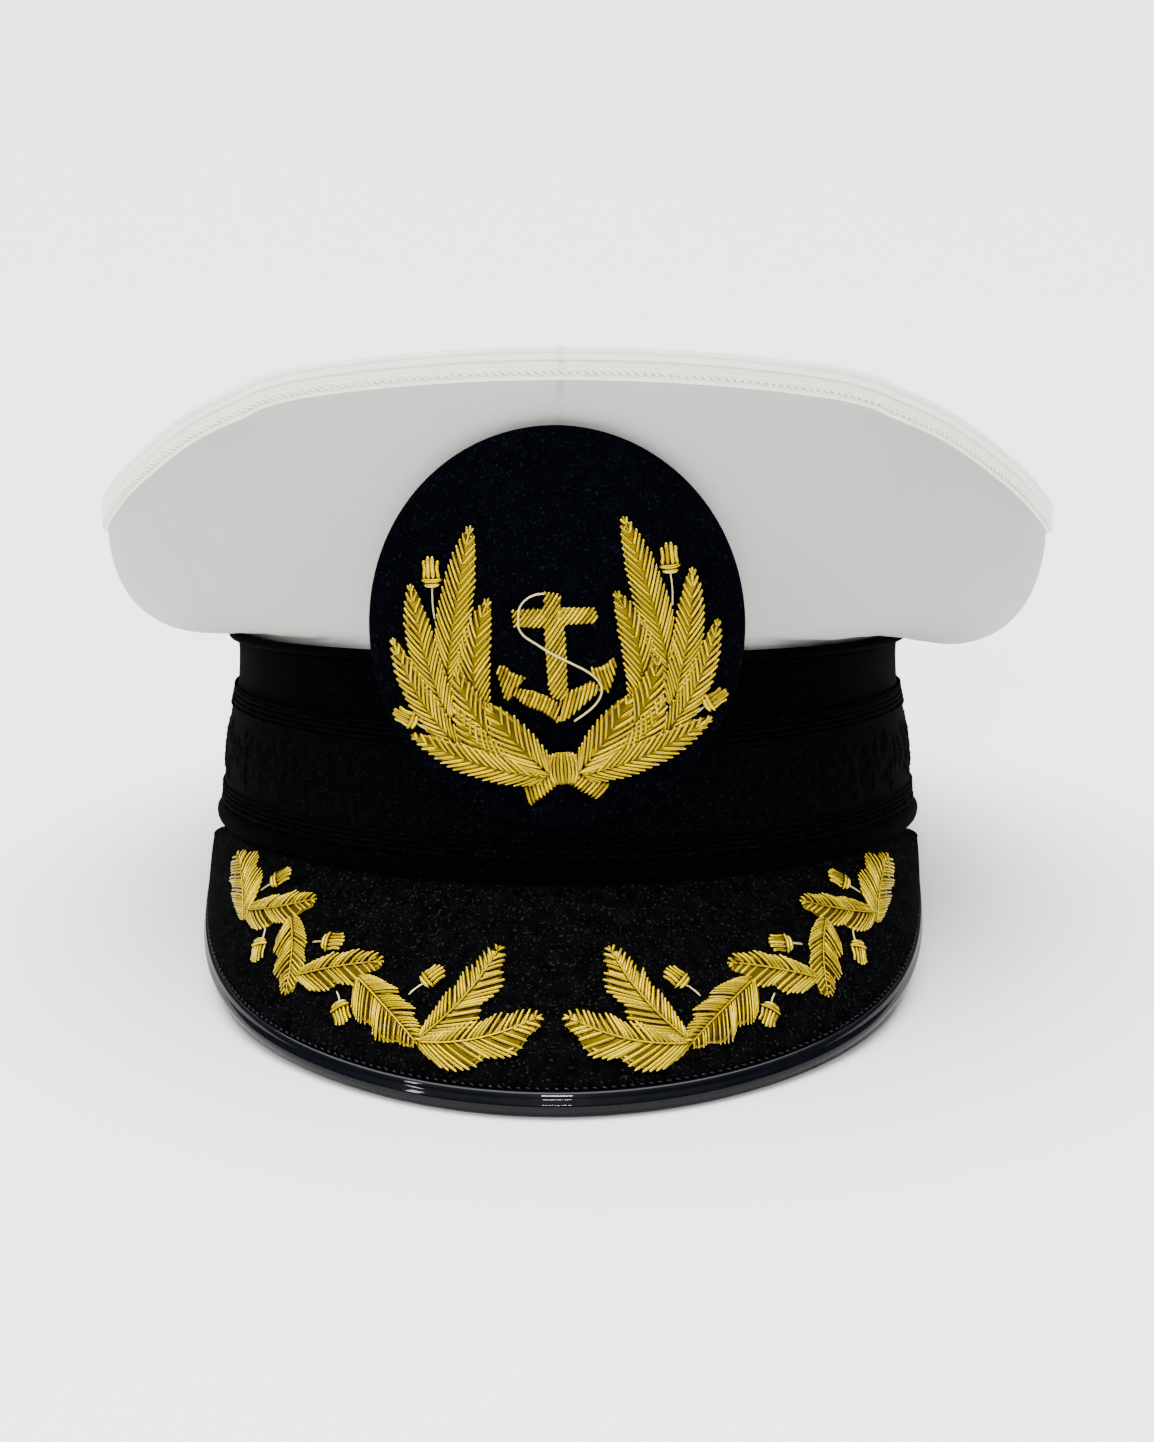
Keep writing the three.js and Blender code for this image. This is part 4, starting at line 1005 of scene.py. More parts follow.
ROUND_FROM, ROUND_DEPTH = 0.94, 0.8
turn = np.radians(np.linspace(0, 360, 160, endpoint=False))[:, None]
badge_rings = np.concatenate([np.linspace(0.004, ROUND_FROM, 26), [0.97, 0.99, 1.0]])
into_edge = ((badge_rings - ROUND_FROM) / 0.06).clip(0)
edge_round = np.sqrt(np.clip(1 - into_edge**2, 0, 1)) * ROUND_DEPTH - ROUND_DEPTH


def badge_grid(lift):
    x = BADGE_HALF_WIDTH * np.sin(turn) * badge_rings
    y = BADGE_HALF_HEIGHT * np.cos(turn) * badge_rings
    return badge_point(x, y, lift + 0 * x)


oval_felt = wall(badge_grid(BADGE_WALL + edge_round), badge_grid(np.zeros_like(badge_rings)), wrap=True)
make("badge_felt_oval", plain(*oval_felt), "badge_felt", "badge_backing")

MOTIF_SHIFT, MOTIF_FOOT, MOTIF_LEAN = 1.8, 14.6, math.radians(3.7)


def on_badge(side):
    def place(u, v, lift):
        x, y = -side * u * BADGE_HALF_WIDTH, v * BADGE_HALF_HEIGHT
        turned_x = x * math.cos(MOTIF_LEAN) - y * math.sin(MOTIF_LEAN) + MOTIF_SHIFT
        turned_y = x * math.sin(MOTIF_LEAN) + y * math.cos(MOTIF_LEAN) + MOTIF_FOOT - BADGE_HALF_HEIGHT
        return badge_point(turned_x, turned_y, BADGE_WALL + lift)
    return place


def on_peak(side):
    def place(u, v, lift):
        angle = u * PEAK_SPREAD
        return peak_point(side * angle, v * cloth_end(angle), PEAK_FACE + lift)
    return place


# %% [markdown]
# The gold is laid on a bent surface, but it is drawn on a flat one: u and v are shares of the
# surface's own size. A spine is the centre line of a leaf there, read by its share of the
# length, with a half width in millimetres on either side. Steps to the left are worked out on
# the surface itself, so a leaf keeps its width wherever it lies.

# %% Wires on a surface
def left_step(place, u, v, du, dv):
    """The step in (u, v) that goes a millimetre to the left of the way (du, dv)."""
    probe = 0.01
    here = place(u, v, 0 * u)
    along_u = (place(u + probe, v, 0 * u) - here) / probe
    along_v = (place(u, v + probe, 0 * u) - here) / probe
    pairs = ((along_u, along_u), (along_u, along_v), (along_v, along_v))
    e, f, g = ((a * b).sum(-1) for a, b in pairs)
    su, sv = -f * du - g * dv, e * du + f * dv
    length = np.sqrt(e * su * su + 2 * f * su * sv + g * sv * sv)
    return su / length, sv / length


def distance(place, u1, v1, u2, v2):
    """Millimetres from one place on a surface to another, straight across."""
    start, end = (place(np.array(u), np.array(v), np.array(0.0)) for u, v in ((u1, v1), (u2, v2)))
    return float(np.linalg.norm(end - start))


def wire_set(place, u, v, lift, radius, sides=7, pale=0.0):
    """Tubes along paths on a surface: u, v and lift are (count, steps)."""
    lift = lift + 0 * u
    paths = place(u, v, lift)
    return tubes(paths, unit(place(u, v, lift + 1.0) - paths), radius + 0 * u, sides, pale)


class Spine:
    """The centre line of a leaf, read at shares of its real length."""

    def __init__(self, place, u, v, left, right):
        self.place, fine = place, np.linspace(0, 1, 200)
        knots = np.linspace(0, 1, len(u))
        u, v, left, right = (np.interp(fine, knots, column) for column in (u, v, left, right))
        gaps = np.linalg.norm(np.diff(place(u, v, 0 * u), axis=0), axis=-1)
        steps = np.concatenate([[0], np.cumsum(gaps)])
        self.length, self.at = float(steps[-1]), fine
        even = np.linspace(0, self.length, 200)
        read = (np.interp(even, steps, column) for column in (u, v, left, right))
        self.u, self.v, self.left, self.right = read
        du, dv = np.gradient(self.u), np.gradient(self.v)
        self.left_u, self.left_v = left_step(place, self.u, self.v, du, dv)

    def read(self, column, share):
        return np.interp(share, self.at, getattr(self, column))

    def point(self, share, across):
        """(u, v) at a share of the length, across millimetres to the left."""
        u = self.read("u", share) + self.read("left_u", share) * across
        v = self.read("v", share) + self.read("left_v", share) * across
        return u, v


def leaf_spine(place, leaf, half, left, right):
    """A leaf from its base to its tip. left and right are outlines, (share, width) pairs."""
    u1, v1, u2, v2, wide, bend = leaf
    at = np.linspace(0, 1, 60)
    du, dv = u2 - u1, v2 - v1
    left_u, left_v = left_step(place, np.array(u1), np.array(v1), du, dv)
    bow = bend * distance(place, u1, v1, u2, v2) * 4 * at * (1 - at)
    widths = [half * wide * np.interp(at, *zip(*outline)) for outline in (left, right)]
    return Spine(place, u1 + du * at + left_u * bow, v1 + dv * at + left_v * bow, *widths)


# %% [markdown]
# Goldwork leaves are cut lengths of hollow coiled wire, laid side by side over a soft padding
# like the barbs of a feather, from the midrib out and towards the tip. Each length is its own
# little tube here, because their rounded ends make the leaf's toothed edge, which a bump on a
# flat leaf can't give. A leaf that lies over others rises from its own base, by its layer.

# %% Padding and barbs
PAD_SHARE, PAD_ROUNDNESS, MIDRIB_GAP = 0.84, 0.7, 0.12
UNEVEN_PITCH, UNEVEN_LENGTH = 0.1, 0.04
# one wire from end to end: share of its length, of its radius, and how pale it is at least: a
# painted highlight on its far end
WIRE_STEPS = np.array([0, 0.14, 0.32, 0.52, 0.72, 0.88, 0.96, 1.0])
WIRE_TAPER = np.array([0.75, 1, 1, 1, 1, 0.98, 0.85, 0.5])
PAINTED_END_GLINT = np.array([0, 0, 0, 0, 0, 0.3, 0.7, 0.9])


def from_base(share):
    """How much of its full height a leaf has, near its base."""
    return np.clip(0.3 + share / 0.4, 0, 1)


def padding(spine, height, layer):
    """A closed low pad under the wires, in the deepest gold: painted shade in the gaps between them."""
    share = np.linspace(0.01, 0.96, 30)[:, None]
    across = np.linspace(1, -1, 9)
    half = np.where(across > 0, spine.read("left", share), spine.read("right", share))
    u, v = spine.point(share, half * PAD_SHARE * across)
    rise = from_base(share)
    top = spine.place(u, v, 0.05 + rise * layer + height * rise * (1 - across**2) ** PAD_ROUNDNESS)
    points, faces = wall(top, spine.place(u, v, 0.02 + 0 * u), wrap=False)
    # Tone 0 is the deepest gold: painted shade between the wires.
    return plain(points, faces[:, ::-1], tone=0.0)


def barbs(spine, pitch, radius, lean, layer, crest, edge, tone):
    """Wires from the midrib to both edges, leaning towards the tip by lean (run over rise)."""
    # Each wire's least tone is tone, and near its far end it is paler still: a painted highlight.
    tone = np.maximum(PAINTED_END_GLINT, tone)
    shapes = []
    count = max(int(spine.length / pitch), 3)
    s = WIRE_STEPS[None]
    for side, name in ((1, "left"), (-1, "right")):
        jitter = randomness.uniform(-UNEVEN_PITCH, UNEVEN_PITCH, count)
        tip = (np.arange(count) + 0.75 + jitter) / count
        half = spine.read(name, tip)
        root = np.maximum(tip - half * lean / spine.length, 0.0)
        share = root[:, None] + (tip - root)[:, None] * s
        uneven = randomness.uniform(-UNEVEN_LENGTH, UNEVEN_LENGTH, (count, 1))
        reach = half[:, None] * (1 + uneven)
        u, v = spine.point(share, (MIDRIB_GAP + (reach - MIDRIB_GAP) * s) * side)
        arch = np.sin(math.pi * (0.12 + 0.82 * s)) ** 0.8
        lift = edge + from_base(tip)[:, None] * (layer + crest * arch)
        shapes.append(wire_set(spine.place, u, v, lift, radius * WIRE_TAPER[None], pale=tone))
    u, v = spine.point(0.88 + 0.14 * s, 0 * s)
    lift = layer + edge + 0.4 * crest * (1 - s)
    shapes.append(wire_set(spine.place, u, v, lift, radius * WIRE_TAPER[None]))
    return shapes


# %% [markdown]
# The wreath has eight laurel leaves on each side, thick wires with dark gaps between them, where
# the pads' deepest gold is painted shade.
# The lower leaves lie over the feet of the upper ones.

# %% Laurel wreath
LAUREL_HALF, LAUREL_PITCH, LAUREL_WIRE, LAUREL_LEAN = 6.0, 1.62, 0.355, 1.7
LAUREL_LAYER, LAUREL_PAD, LAUREL_CREST, LAUREL_EDGE, LAUREL_TONE = 0.4, 0.25, 0.4, 0.32, 0.3
# share of the length, share of the half width
LAUREL = [(0, 0.55), (0.15, 0.84), (0.35, 0.98), (0.55, 1), (0.75, 0.84), (0.9, 0.52), (1, 0.16)]
# base u, v, tip u, v, width, bend: u and v are shares of the badge's half width and half height
WREATH_LEAVES = [
    (-0.6, 0.33, -0.394, 1.225, 0.71, 0.019),
    (-0.405, 0.14, -0.325, 0.86, 0.68, 0.09),
    (-0.575, 0.27, -0.728, 0.95, 0.62, 0.042),
    (-0.48, 0.08, -0.839, 0.685, 0.56, 0.071),
    (-0.121, 0.01, -0.514, 0.52, 0.7, 0.13),
    (-0.122, -0.005, -0.527, 0.33, 0.6, 0.16),
    (-0.075, -0.02, -0.359, 0.338, 0.72, 0.04),
    (-0.105, -0.037, -0.758, 0.201, 0.56, 0.047),
]


def wreath(side, name):
    place = on_badge(side)
    shapes = []
    for order, leaf in enumerate(WREATH_LEAVES):
        spine = leaf_spine(place, leaf, LAUREL_HALF, LAUREL, LAUREL)
        layer = LAUREL_LAYER * order
        shapes.append(padding(spine, LAUREL_PAD, layer))
        wires = LAUREL_PITCH, LAUREL_WIRE, LAUREL_LEAN, layer
        shapes += barbs(spine, *wires, LAUREL_CREST, LAUREL_EDGE, LAUREL_TONE)
    make(f"wreath_{name}_wires", join(shapes), "gold_wire", f"wreath_{name}")


SIDES = ((-1, "right"), (1, "left"))
for side, name in SIDES:
    wreath(side, name)

# %% [markdown]
# A bud or an acorn is a handful of wires side by side from a cup to a point, each with a pale tip
# that is a painted highlight, and two wires across the cup, on a stalk of finer, paler wire. The
# row of a nut gives the foot of its stalk and its tip, and its length says how much of that the
# nut takes up.

# %% Buds and acorns
NUT_LIFT, NUT_SWELL, CUP_LIFT, CUP_SWELL, CUP_BOW = 0.42, 0.75, 0.5, 0.9, 0.05
STALK_WIRE, STALK_LIFT, STALK_BOW = 0.24, 0.45, 0.25
# share of the nut's length, reach, tone
CUP_WIRES = ((0.2, 1.12, 0.3), (0.04, 0.84, 0.7))


def nut(place, row, length, half, strands, wire, layer, name, stands_for):
    """A bud or an acorn of so many wires side by side, with its cup and its stalk."""
    u1, v1, u2, v2 = row
    neck = 1 - length / distance(place, *row)
    body = 1 - neck
    spine = Spine(place, *np.array([(u1, u2), (v1, v2), (half, half), (half, half)]))
    lane = np.linspace(-1, 1, strands)[:, None]
    s = WIRE_STEPS[None]
    share = neck + body * (0.22 + (0.78 - 0.16 * lane**2) * s)
    fan = half - wire - 0.25 * np.sin(math.pi * np.clip(s * 1.15 - 0.15, 0, 1)) ** 2
    u, v = spine.point(share, lane * fan)
    arch = np.sin(math.pi * (0.3 + 0.55 * s)) ** 0.7
    lift = layer + NUT_LIFT + NUT_SWELL * np.sqrt(1 - 0.8 * lane**2) * arch
    # The wires' pale tips are a painted highlight.
    shapes = [wire_set(place, u, v, lift, wire * WIRE_TAPER[None], pale=PAINTED_END_GLINT)]
    cross = np.linspace(-1, 1, 9)[None]
    for at, reach, tone in CUP_WIRES:
        u, v = spine.point(neck + body * (at - CUP_BOW * (1 - cross**2)), cross * half * reach)
        thick = wire * 1.05 * (1 - 0.55 * cross**4)
        lift = layer + CUP_LIFT + CUP_SWELL * np.sqrt(1 - 0.8 * cross**2)
        shapes.append(wire_set(place, u, v, lift, thick, pale=tone))
    make(name, join(shapes), "gold_wire", stands_for)
    s = np.linspace(0, 1, 9)[None]
    u, v = spine.point(s * (neck + 0.02), STALK_BOW * np.sin(s * math.pi))
    make(name + "_stalk", wire_set(place, u, v, layer + STALK_LIFT, STALK_WIRE), "pale_wire")


BUD_LENGTH, BUD_HALF, BUD_STRANDS, BUD_WIRE = 7.0, 2.25, 4, 0.54
# name, row, size, layer
BUDS = (
    ("upper", (-0.618, 0.77, -0.616, 1.085), 1.0, 0.0),
    ("lower", (-0.64, 0.2, -0.86, 0.32), 0.9, 0.9),
)
for side, name in SIDES:
    for at, row, size, layer in BUDS:
        wires = BUD_LENGTH * size, BUD_HALF * size, BUD_STRANDS, BUD_WIRE
        solid = f"wreath_{name}_bud_{at}"
        nut(on_badge(side), row, *wires, layer, f"bud_{name}_{at}", solid)

# %% [markdown]
# The anchor is six shapes, drawn as outlines in shares of the badge's half width and half
# height. The shank lies over the stock and the arms.

# %% The anchor's outlines
SHANK = [
    (-0.039, 0.877), (0.051, 0.865), (0.041, 0.798), (0.058, 0.68), (0.054, 0.527), (0.049, 0.387),
    (0.026, 0.334), (-0.035, 0.351), (-0.052, 0.407), (-0.053, 0.542), (-0.052, 0.668), (-0.047, 0.803),
]
STOCK = [
    (-0.211, 0.796), (-0.047, 0.796), (0.055, 0.797), (0.219, 0.787), (0.227, 0.742), (0.218, 0.711),
    (0.067, 0.707), (-0.054, 0.7), (-0.208, 0.708),
]
ARM_RIGHT = [
    (-0.213, 0.41), (-0.132, 0.395), (-0.042, 0.356), (0.002, 0.327), (-0.005, 0.219), (-0.085, 0.28),
    (-0.179, 0.321), (-0.236, 0.375),
]
ARM_LEFT = [
    (0.002, 0.327), (0.043, 0.379), (0.138, 0.409), (0.181, 0.429), (0.224, 0.381), (0.131, 0.305),
    (0.062, 0.255), (-0.005, 0.219),
]
FLUKE_RIGHT = [
    (-0.276, 0.533), (-0.228, 0.488), (-0.167, 0.46), (-0.186, 0.429), (-0.215, 0.411), (-0.236, 0.375),
    (-0.255, 0.345), (-0.282, 0.359), (-0.298, 0.432), (-0.309, 0.483), (-0.301, 0.514),
]
FLUKE_LEFT = [
    (0.301, 0.539), (0.31, 0.51), (0.3, 0.461), (0.276, 0.391), (0.253, 0.354), (0.224, 0.381),
    (0.183, 0.447), (0.177, 0.49), (0.227, 0.489), (0.271, 0.517),
]
# outline, slant in degrees, layer
ANCHOR = [
    (STOCK, 48, 0.0), (ARM_RIGHT, 64, 0.0), (ARM_LEFT, 72, 0.05), (FLUKE_RIGHT, 66, 0.12),
    (FLUKE_LEFT, 104, 0.12), (SHANK, 54, 0.25),
]

# %% [markdown]
# Each shape is filled with wires that slant the same way, which is how it was laid: each wire
# is cut to the width of the shape where it lies. A fill like that is a set of parallel lines
# clipped by the outline, over a low pad of the same outline.

# %% Anchor
HATCH_PITCH, HATCH_WIRE, HATCH_LIFT, HATCH_SWELL, UNEVEN = 0.86, 0.4, 0.4, 0.85, 0.15
# one wire from end to end: share of its length, of its radius, and how pale it is at least: a
# painted highlight on both its ends
HATCH_STEPS = np.array([[0, 0.05, 0.16, 0.34, 0.5, 0.66, 0.84, 0.95, 1.0]])
HATCH_TAPER = np.array([[0.5, 0.85, 1, 1, 1, 1, 1, 0.85, 0.5]])
PAINTED_END_GLINTS = np.array([1, 0.8, 0.1, 0, 0, 0, 0.1, 0.8, 1])
BADGE_SIZE = np.array([BADGE_HALF_WIDTH, BADGE_HALF_HEIGHT])


def hatch(place, outline, slant, layer):
    """Wires across an outline, all at one slant."""
    corners = np.array(outline) * BADGE_SIZE
    way = np.array([math.cos(math.radians(slant)), math.sin(math.radians(slant))])
    side = np.array([way[1], -way[0]])
    depth, reach = corners @ side, corners @ way
    lines = np.arange(depth.min() + 0.35 * HATCH_PITCH, depth.max(), HATCH_PITCH)
    next_depth, next_reach = np.roll(depth, -1), np.roll(reach, -1)
    ends = []
    for line in lines:
        cut = (depth - line) * (next_depth - line) < 0
        share = (line - depth[cut]) / (next_depth[cut] - depth[cut])
        crossings = reach[cut] + (next_reach[cut] - reach[cut]) * share
        ends.append((line, crossings.min(), crossings.max()))
    line, low, high = (np.array(column)[:, None] for column in zip(*ends))
    low = low + randomness.uniform(-UNEVEN, UNEVEN, low.shape)
    high = high + randomness.uniform(-UNEVEN, UNEVEN, high.shape)
    spots = (low + (high - low) * HATCH_STEPS)[..., None] * way + line[..., None] * side
    u, v = np.moveaxis(spots / BADGE_SIZE, -1, 0)
    swell = np.minimum((high - low) / 4, 1.0)
    lift = layer + HATCH_LIFT + HATCH_SWELL * swell * np.sin(math.pi * HATCH_STEPS) ** 0.6
    # Both ends of each wire are made pale: a painted highlight.
    return wire_set(place, u, v, lift, HATCH_WIRE * HATCH_TAPER, pale=PAINTED_END_GLINTS)


def pad_under(place, outline, layer):
    """A low pad inside an outline: rings that shrink to its middle, in the deepest gold, which paints the
    shade between the wires.
    """
    corners = np.array(outline)
    middle = corners.mean(axis=0)
    share = np.array([0.92, 0.85, 0.6, 0.05])
    heights = np.array([0.02, 0.35, 0.5, 0.5])
    rings = middle + (corners - middle) * share[:, None, None]
    u, v = np.moveaxis(rings, -1, 0)
    points = place(u, v, layer + heights[:, None] + 0 * u).reshape(-1, 3)
    faces = grid_faces(*u.shape, wrap_columns=True)
    # Tone 0 is the deepest gold: painted shade between the wires.
    return plain(points, faces, caps=end_caps(*u.shape), tone=0.0)


badge_place = on_badge(-1)
shapes = []
for outline, slant, layer in ANCHOR:
    shapes += [pad_under(badge_place, outline, layer), hatch(badge_place, outline, slant, layer)]
make("anchor_wires", join(shapes), "gold_wire", "anchor")

# %% [markdown]
# A paler cord winds round the anchor, in front of the shank and over one fluke. It is sewn down
# all along, so it doesn't hang: a smooth curve through a few points carries it.

# %% Anchor rope
ROPE_LIFT, ROPE_RADIUS = 1.95, 0.27
ROPE = [
    (-0.037, 0.87), (-0.079, 0.868), (-0.122, 0.852), (-0.155, 0.825), (-0.171, 0.792), (-0.177, 0.747),
    (-0.177, 0.707), (-0.15, 0.665), (-0.097, 0.626), (-0.035, 0.582), (0.036, 0.541), (0.099, 0.506),
    (0.157, 0.471), (0.2, 0.432), (0.22, 0.39), (0.213, 0.35), (0.182, 0.307), (0.133, 0.269), (0.07, 0.232),
]


def smooth_path(rows, steps):
    rows = np.array(rows, float)
    padded = np.concatenate([[2 * rows[0] - rows[1]], rows, [2 * rows[-1] - rows[-2]]])
    knots = np.arange(-1, len(rows) + 1, dtype=float) * 10
    read = np.linspace(0, (len(rows) - 1) * 10 - 0.001, steps)
    return [smooth_column(knots, padded[:, k], read)[None] for k in range(2)]


rope = wire_set(badge_place, *smooth_path(ROPE, 110), ROPE_LIFT, ROPE_RADIUS, sides=10)
make("anchor_rope_wire", rope, "pale_wire", "anchor_rope")

# %% [markdown]
# The knot that ties the wreath is a barrel of upright wires with two short tails of wires laid
# across. Both are strips along a spine, so the leaves' tools make them.

# %% Knot
KNOT_HALF, BARREL_WIRES, BARREL_WIRE, BARREL_LIFT, BARREL_SWELL = 3.3, 8, 0.44, 1.3, 1.1
TAIL_PITCH, TAIL_WIRE, TAIL_LEAN, TAIL_LIFT, TAIL_SWELL = 0.9, 0.4, 0.3, 0.4, 0.8
# u, v, share of the half width
BARREL = [(0, 0.08, 0.73), (0, 0.03, 1), (0, -0.03, 1), (0, -0.08, 0.73)]
TAIL = [(0.03, -0.045, 0.4), (0.11, -0.085, 0.66), (0.2, -0.13, 0.8)]


def strip_spine(place, strip, half):
    u, v, wide = (np.array(column, float) for column in zip(*strip))
    return Spine(place, u, v, wide * half, wide * half)


def crosswise(spine):
    """Wires right across a strip."""
    count = int(spine.length / TAIL_PITCH)
    s = np.linspace(-1, 1, 9)[None]
    middle = ((np.arange(count) + 0.5) / count)[:, None]
    half = spine.read("left", middle)
    share = np.clip(middle + TAIL_LEAN * half * s / spine.length, 0, 1)
    u, v = spine.point(share, half * s * (1 + randomness.uniform(-0.05, 0.05, (count, 1))))
    lift = TAIL_LIFT + TAIL_SWELL * (1 - s**2) ** 0.6
    # The wires' ends are made pale: a painted highlight.
    return wire_set(spine.place, u, v, lift, TAIL_WIRE * (1 - 0.4 * s**6), pale=0.9 * s[0] ** 8)


spine = strip_spine(badge_place, BARREL, KNOT_HALF)
lane = np.linspace(-1, 1, BARREL_WIRES)[:, None]
s = np.linspace(0, 1, 10)[None]
u, v = spine.point(0.02 + 0.96 * s + 0 * lane, lane * (spine.read("left", s) - 0.3))
arch = np.sin(math.pi * (0.12 + 0.76 * s)) ** 0.5
lift = BARREL_LIFT + BARREL_SWELL * np.sqrt(1 - 0.75 * lane**2) * arch
shapes = [padding(spine, 0.8, 0.3), wire_set(badge_place, u, v, lift, BARREL_WIRE)]
for way in (-1, 1):
    spine = strip_spine(badge_place, [(way * u, v, wide) for u, v, wide in TAIL], KNOT_HALF)
    shapes += [padding(spine, 0.6, 0.0), crosswise(spine)]
make("knot_wires", join(shapes), "gold_wire", "wreath_knot")

# %% [markdown]
# The oak leaves on the peak are the same work with closer wires, lobed edges, and a wire along
# the midrib. Their outer half is broader than the inner one. Two leaves of each side are
# filled with finer wire, which looks like satin.

# %% Oak leaves and acorns
# The last number here is the least tone of each oak wire: painted light, which makes the oak leaves lighter,
# as under a stronger light.
OAK_HALF, OAK_LEAN, OAK_PAD, OAK_CREST, OAK_EDGE, OAK_PAINTED_LIGHT = 6.8, 1.05, 0.6, 0.75, 0.45, 0.25
MIDRIB_WIRE, MIDRIB_LIFT, MIDRIB_FALL, MIDRIB_TONE = 0.22, 1.05, 0.35, 0.3
ACORN_LENGTH, ACORN_HALF, ACORN_STRANDS, ACORN_WIRE = 5.8, 2.4, 5, 0.45
# share of the length, share of the half width
OAK_LEFT = [
    (0, 0.14), (0.12, 0.42), (0.3, 0.62), (0.45, 0.74), (0.52, 0.6), (0.6, 0.66), (0.7, 0.76), (0.78, 0.52),
    (0.86, 0.52), (0.94, 0.42), (1, 0.16),
]
OAK_RIGHT = [
    (0, 0.14), (0.1, 0.5), (0.22, 0.9), (0.36, 1.06), (0.44, 1.0), (0.52, 0.74), (0.6, 0.9), (0.7, 0.98),
    (0.78, 0.78), (0.84, 0.46), (0.92, 0.42), (1, 0.16),
]
# base u, v, tip u, v, width, bend, pitch, wire: u and v are shares of the peak's spread and depth
OAK_LEAVES = [
    (0.642, 0.567, 0.795, 0.165, 0.92, -0.05, 1.15, 0.32),
    (0.649, 0.507, 0.48, 0.235, 0.8, 0.0, 1.15, 0.32),
    (0.519, 0.389, 0.457, 0.824, 0.84, 0.078, 0.9, 0.26),
    (0.448, 0.7, 0.288, 0.49, 0.84, 0.04, 1.3, 0.37),
    (0.327, 0.6, 0.196, 0.861, 1.0, 0.02, 0.9, 0.26),
    (0.195, 0.828, 0.091, 0.337, 0.94, -0.054, 1.35, 0.4),
    (0.196, 0.849, 0.016, 0.666, 1.02, -0.064, 1.35, 0.4),
]
# foot of the stalk u, v, tip u, v
ACORNS = [
    (0.639, 0.32, 0.583, 0.102),
    (0.573, 0.508, 0.553, 0.751),
    (0.444, 0.488, 0.376, 0.43),
    (0.358, 0.7, 0.324, 0.852),
    (0.229, 0.63, 0.18, 0.473),
]


def oak_leaf(place, leaf, name, stands_for):
    *shape, pitch, wire = leaf
    spine = leaf_spine(place, shape, OAK_HALF, OAK_LEFT, OAK_RIGHT)
    shapes = [padding(spine, OAK_PAD, 0.0)]
    shapes += barbs(spine, pitch, wire, OAK_LEAN, 0.0, OAK_CREST, OAK_EDGE, OAK_PAINTED_LIGHT)
    s = np.linspace(0, 0.97, 24)[None]
    u, v = spine.point(s, 0 * s)
    lift = MIDRIB_LIFT - MIDRIB_FALL * s**4
    thick = MIDRIB_WIRE * (1 - 0.3 * s**6)
    shapes.append(wire_set(place, u, v, lift, thick, pale=MIDRIB_TONE))
    make(name, join(shapes), "gold_wire", stands_for)


for side, name in SIDES:
    place = on_peak(side)
    for k, leaf in enumerate(OAK_LEAVES, 1):
        oak_leaf(place, leaf, f"oak_{name}_{k}", f"oak_leaf_{name}_{k}")
    for k, row in enumerate(ACORNS, 1):
        wires = ACORN_LENGTH, ACORN_HALF, ACORN_STRANDS, ACORN_WIRE
        solid = f"acorn_{name}_{k}"
        nut(place, row, *wires, 0.0, solid + "_wires", solid)

# %% [markdown]
# The table is a pale plain sheet. Most light comes straight down, as under a bright ceiling, and
# little from the sides. So the table and the piping are bright, the cover's front is in soft
# shade, deepened by its painted grey colour, the black cloth stays black and the gold wires get
# dark flanks. Two small panels in front give the glints.

# %% Table and light
FLOOR_HALF = 6.0
corners = [(x * FLOOR_HALF, y * FLOOR_HALF, 0) for x, y in ((-1, -1), (1, -1), (1, 1), (-1, 1))]
floor_mesh = bpy.data.meshes.new("table")
floor_mesh.from_pydata(corners, [], [(0, 1, 2, 3)])
floor = bpy.data.objects.new("table", floor_mesh)
bpy.context.scene.collection.objects.link(floor)
floor_mesh.materials.append(new_finish("pale table", (0.88, 0.88, 0.865), 0.9, specular=0.1)[0])

world = bpy.data.worlds.new("studio")
bpy.context.scene.world = world
world.use_nodes = True
sky = world.node_tree
background = sky.nodes["Background"]
way = sky.nodes.new("ShaderNodeTexCoord")
parts = sky.nodes.new("ShaderNodeSeparateXYZ")
sky.links.new(way.outputs["Generated"], parts.inputs[0])
# height of the way looked (0 level, 1 straight up), colour
SKY = [
    (0.0, (0.1, 0.1, 0.105)),
    (0.35, (0.14, 0.14, 0.15)),
    (0.65, (0.6, 0.61, 0.63)),
    (0.9, (1.0, 1.0, 1.0)),
]
SKY_STRENGTH = 1.3
sky.links.new(color_ramp(sky, parts.outputs["Z"], SKY), background.inputs["Color"])
background.inputs["Strength"].default_value = SKY_STRENGTH


def add_light(name, kind, place, aim, power):
    light = bpy.data.lights.new(name, kind)
    light.energy = power
    lamp = bpy.data.objects.new(name, light)
    bpy.context.scene.collection.objects.link(lamp)
    lamp.location = place
    way = np.array(aim) - np.array(place)
    tilt = math.acos(-way[2] / np.linalg.norm(way))
    lamp.rotation_euler = (tilt, 0, math.atan2(way[1], way[0]) - math.pi / 2)
    return light


ceiling = add_light("ceiling", "SUN", (-0.1, 0.5, 2.0), (0, 0, 0.08), 10)
ceiling.angle = math.radians(66)
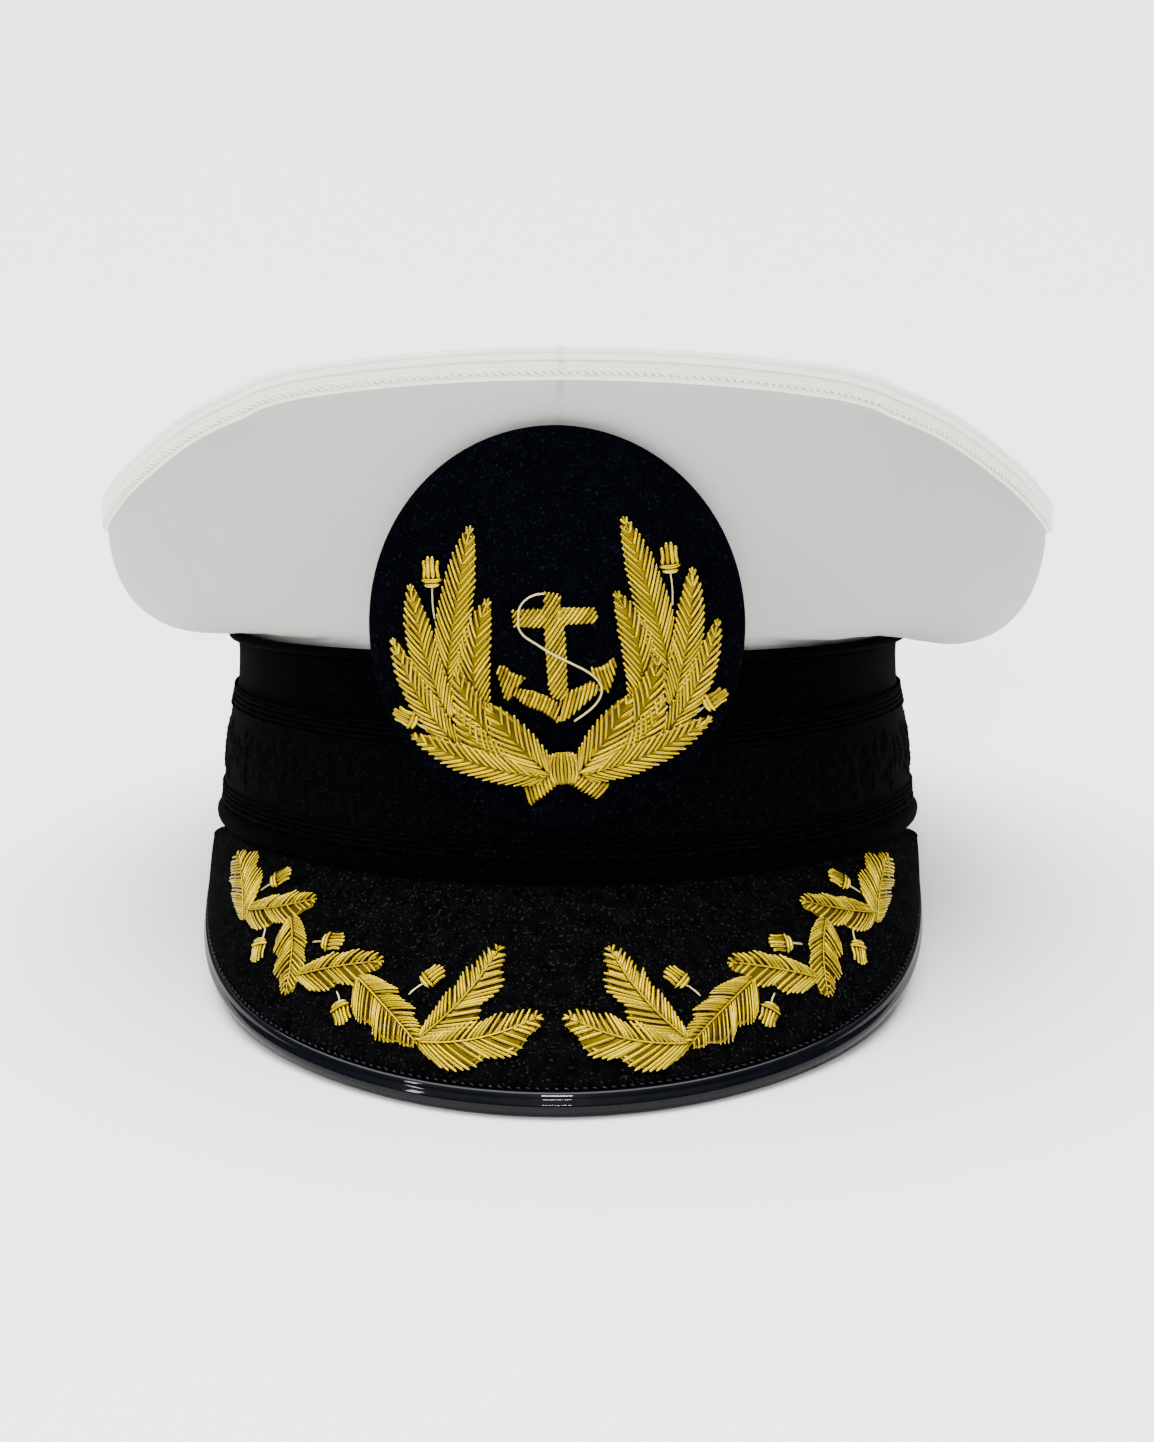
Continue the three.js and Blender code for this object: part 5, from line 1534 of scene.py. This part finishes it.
# name, place, width, height, power
PANELS = (
    ("panel_front", (0.0, -1.3, 0.8), 0.26, 0.02, 10),
    ("panel_side", (-1.1, -0.9, 0.7), 0.1, 0.3, 5),
)
for name, place, width, height, power in PANELS:
    panel = add_light(name, "AREA", place, (0, -0.08, 0.03), power)
    panel.shape = "RECTANGLE"
    panel.size, panel.size_y = width, height

# %% [markdown]
# The camera looks slightly down at the cap from in front, as in the photograph. It stands in
# the level cap's own axes, aims at the middle of the band, and is then turned so that this
# point falls where it does in the picture.

# %% Camera
PHOTO_WIDTH, PHOTO_HEIGHT = 1154, 1442
FOCAL_PIXELS = 3820.0
CAMERA_DISTANCE, CAMERA_RISE, CAMERA_YAW = 1000.0, math.radians(4.0), math.radians(1.5)
AIM_POINT, AIM_PIXEL = np.array([0, 0, 50.0]), (568.0, 621.0)

level = math.cos(CAMERA_RISE)
towards = np.array([math.sin(CAMERA_YAW) * level, -math.cos(CAMERA_YAW) * level, math.sin(CAMERA_RISE)])
eye = AIM_POINT + towards * CAMERA_DISTANCE
right = unit(np.cross(-towards, [0, 0, 1.0]))
axes = np.stack([right, np.cross(right, -towards), towards], axis=1)
swing = Matrix.Rotation(math.atan((AIM_PIXEL[0] - PHOTO_WIDTH / 2) / FOCAL_PIXELS), 3, "Y")
nod = Matrix.Rotation(math.atan((AIM_PIXEL[1] - PHOTO_HEIGHT / 2) / FOCAL_PIXELS), 3, "X")
tip_back = np.array(Matrix.Rotation(-REST_TILT, 3, "X"))
facing_matrix = Matrix((tip_back @ axes).tolist()) @ swing @ nod
camera_data = bpy.data.cameras.new("camera")
camera_data.sensor_fit = "VERTICAL"
camera_data.sensor_height = 36.0
camera_data.lens = FOCAL_PIXELS / PHOTO_HEIGHT * camera_data.sensor_height
camera = bpy.data.objects.new("camera", camera_data)
bpy.context.scene.collection.objects.link(camera)
camera.matrix_world = Matrix.Translation(settle(eye).tolist()) @ facing_matrix.to_4x4()
bpy.context.scene.camera = camera
print("camera at", tuple(round(v, 3) for v in camera.location))
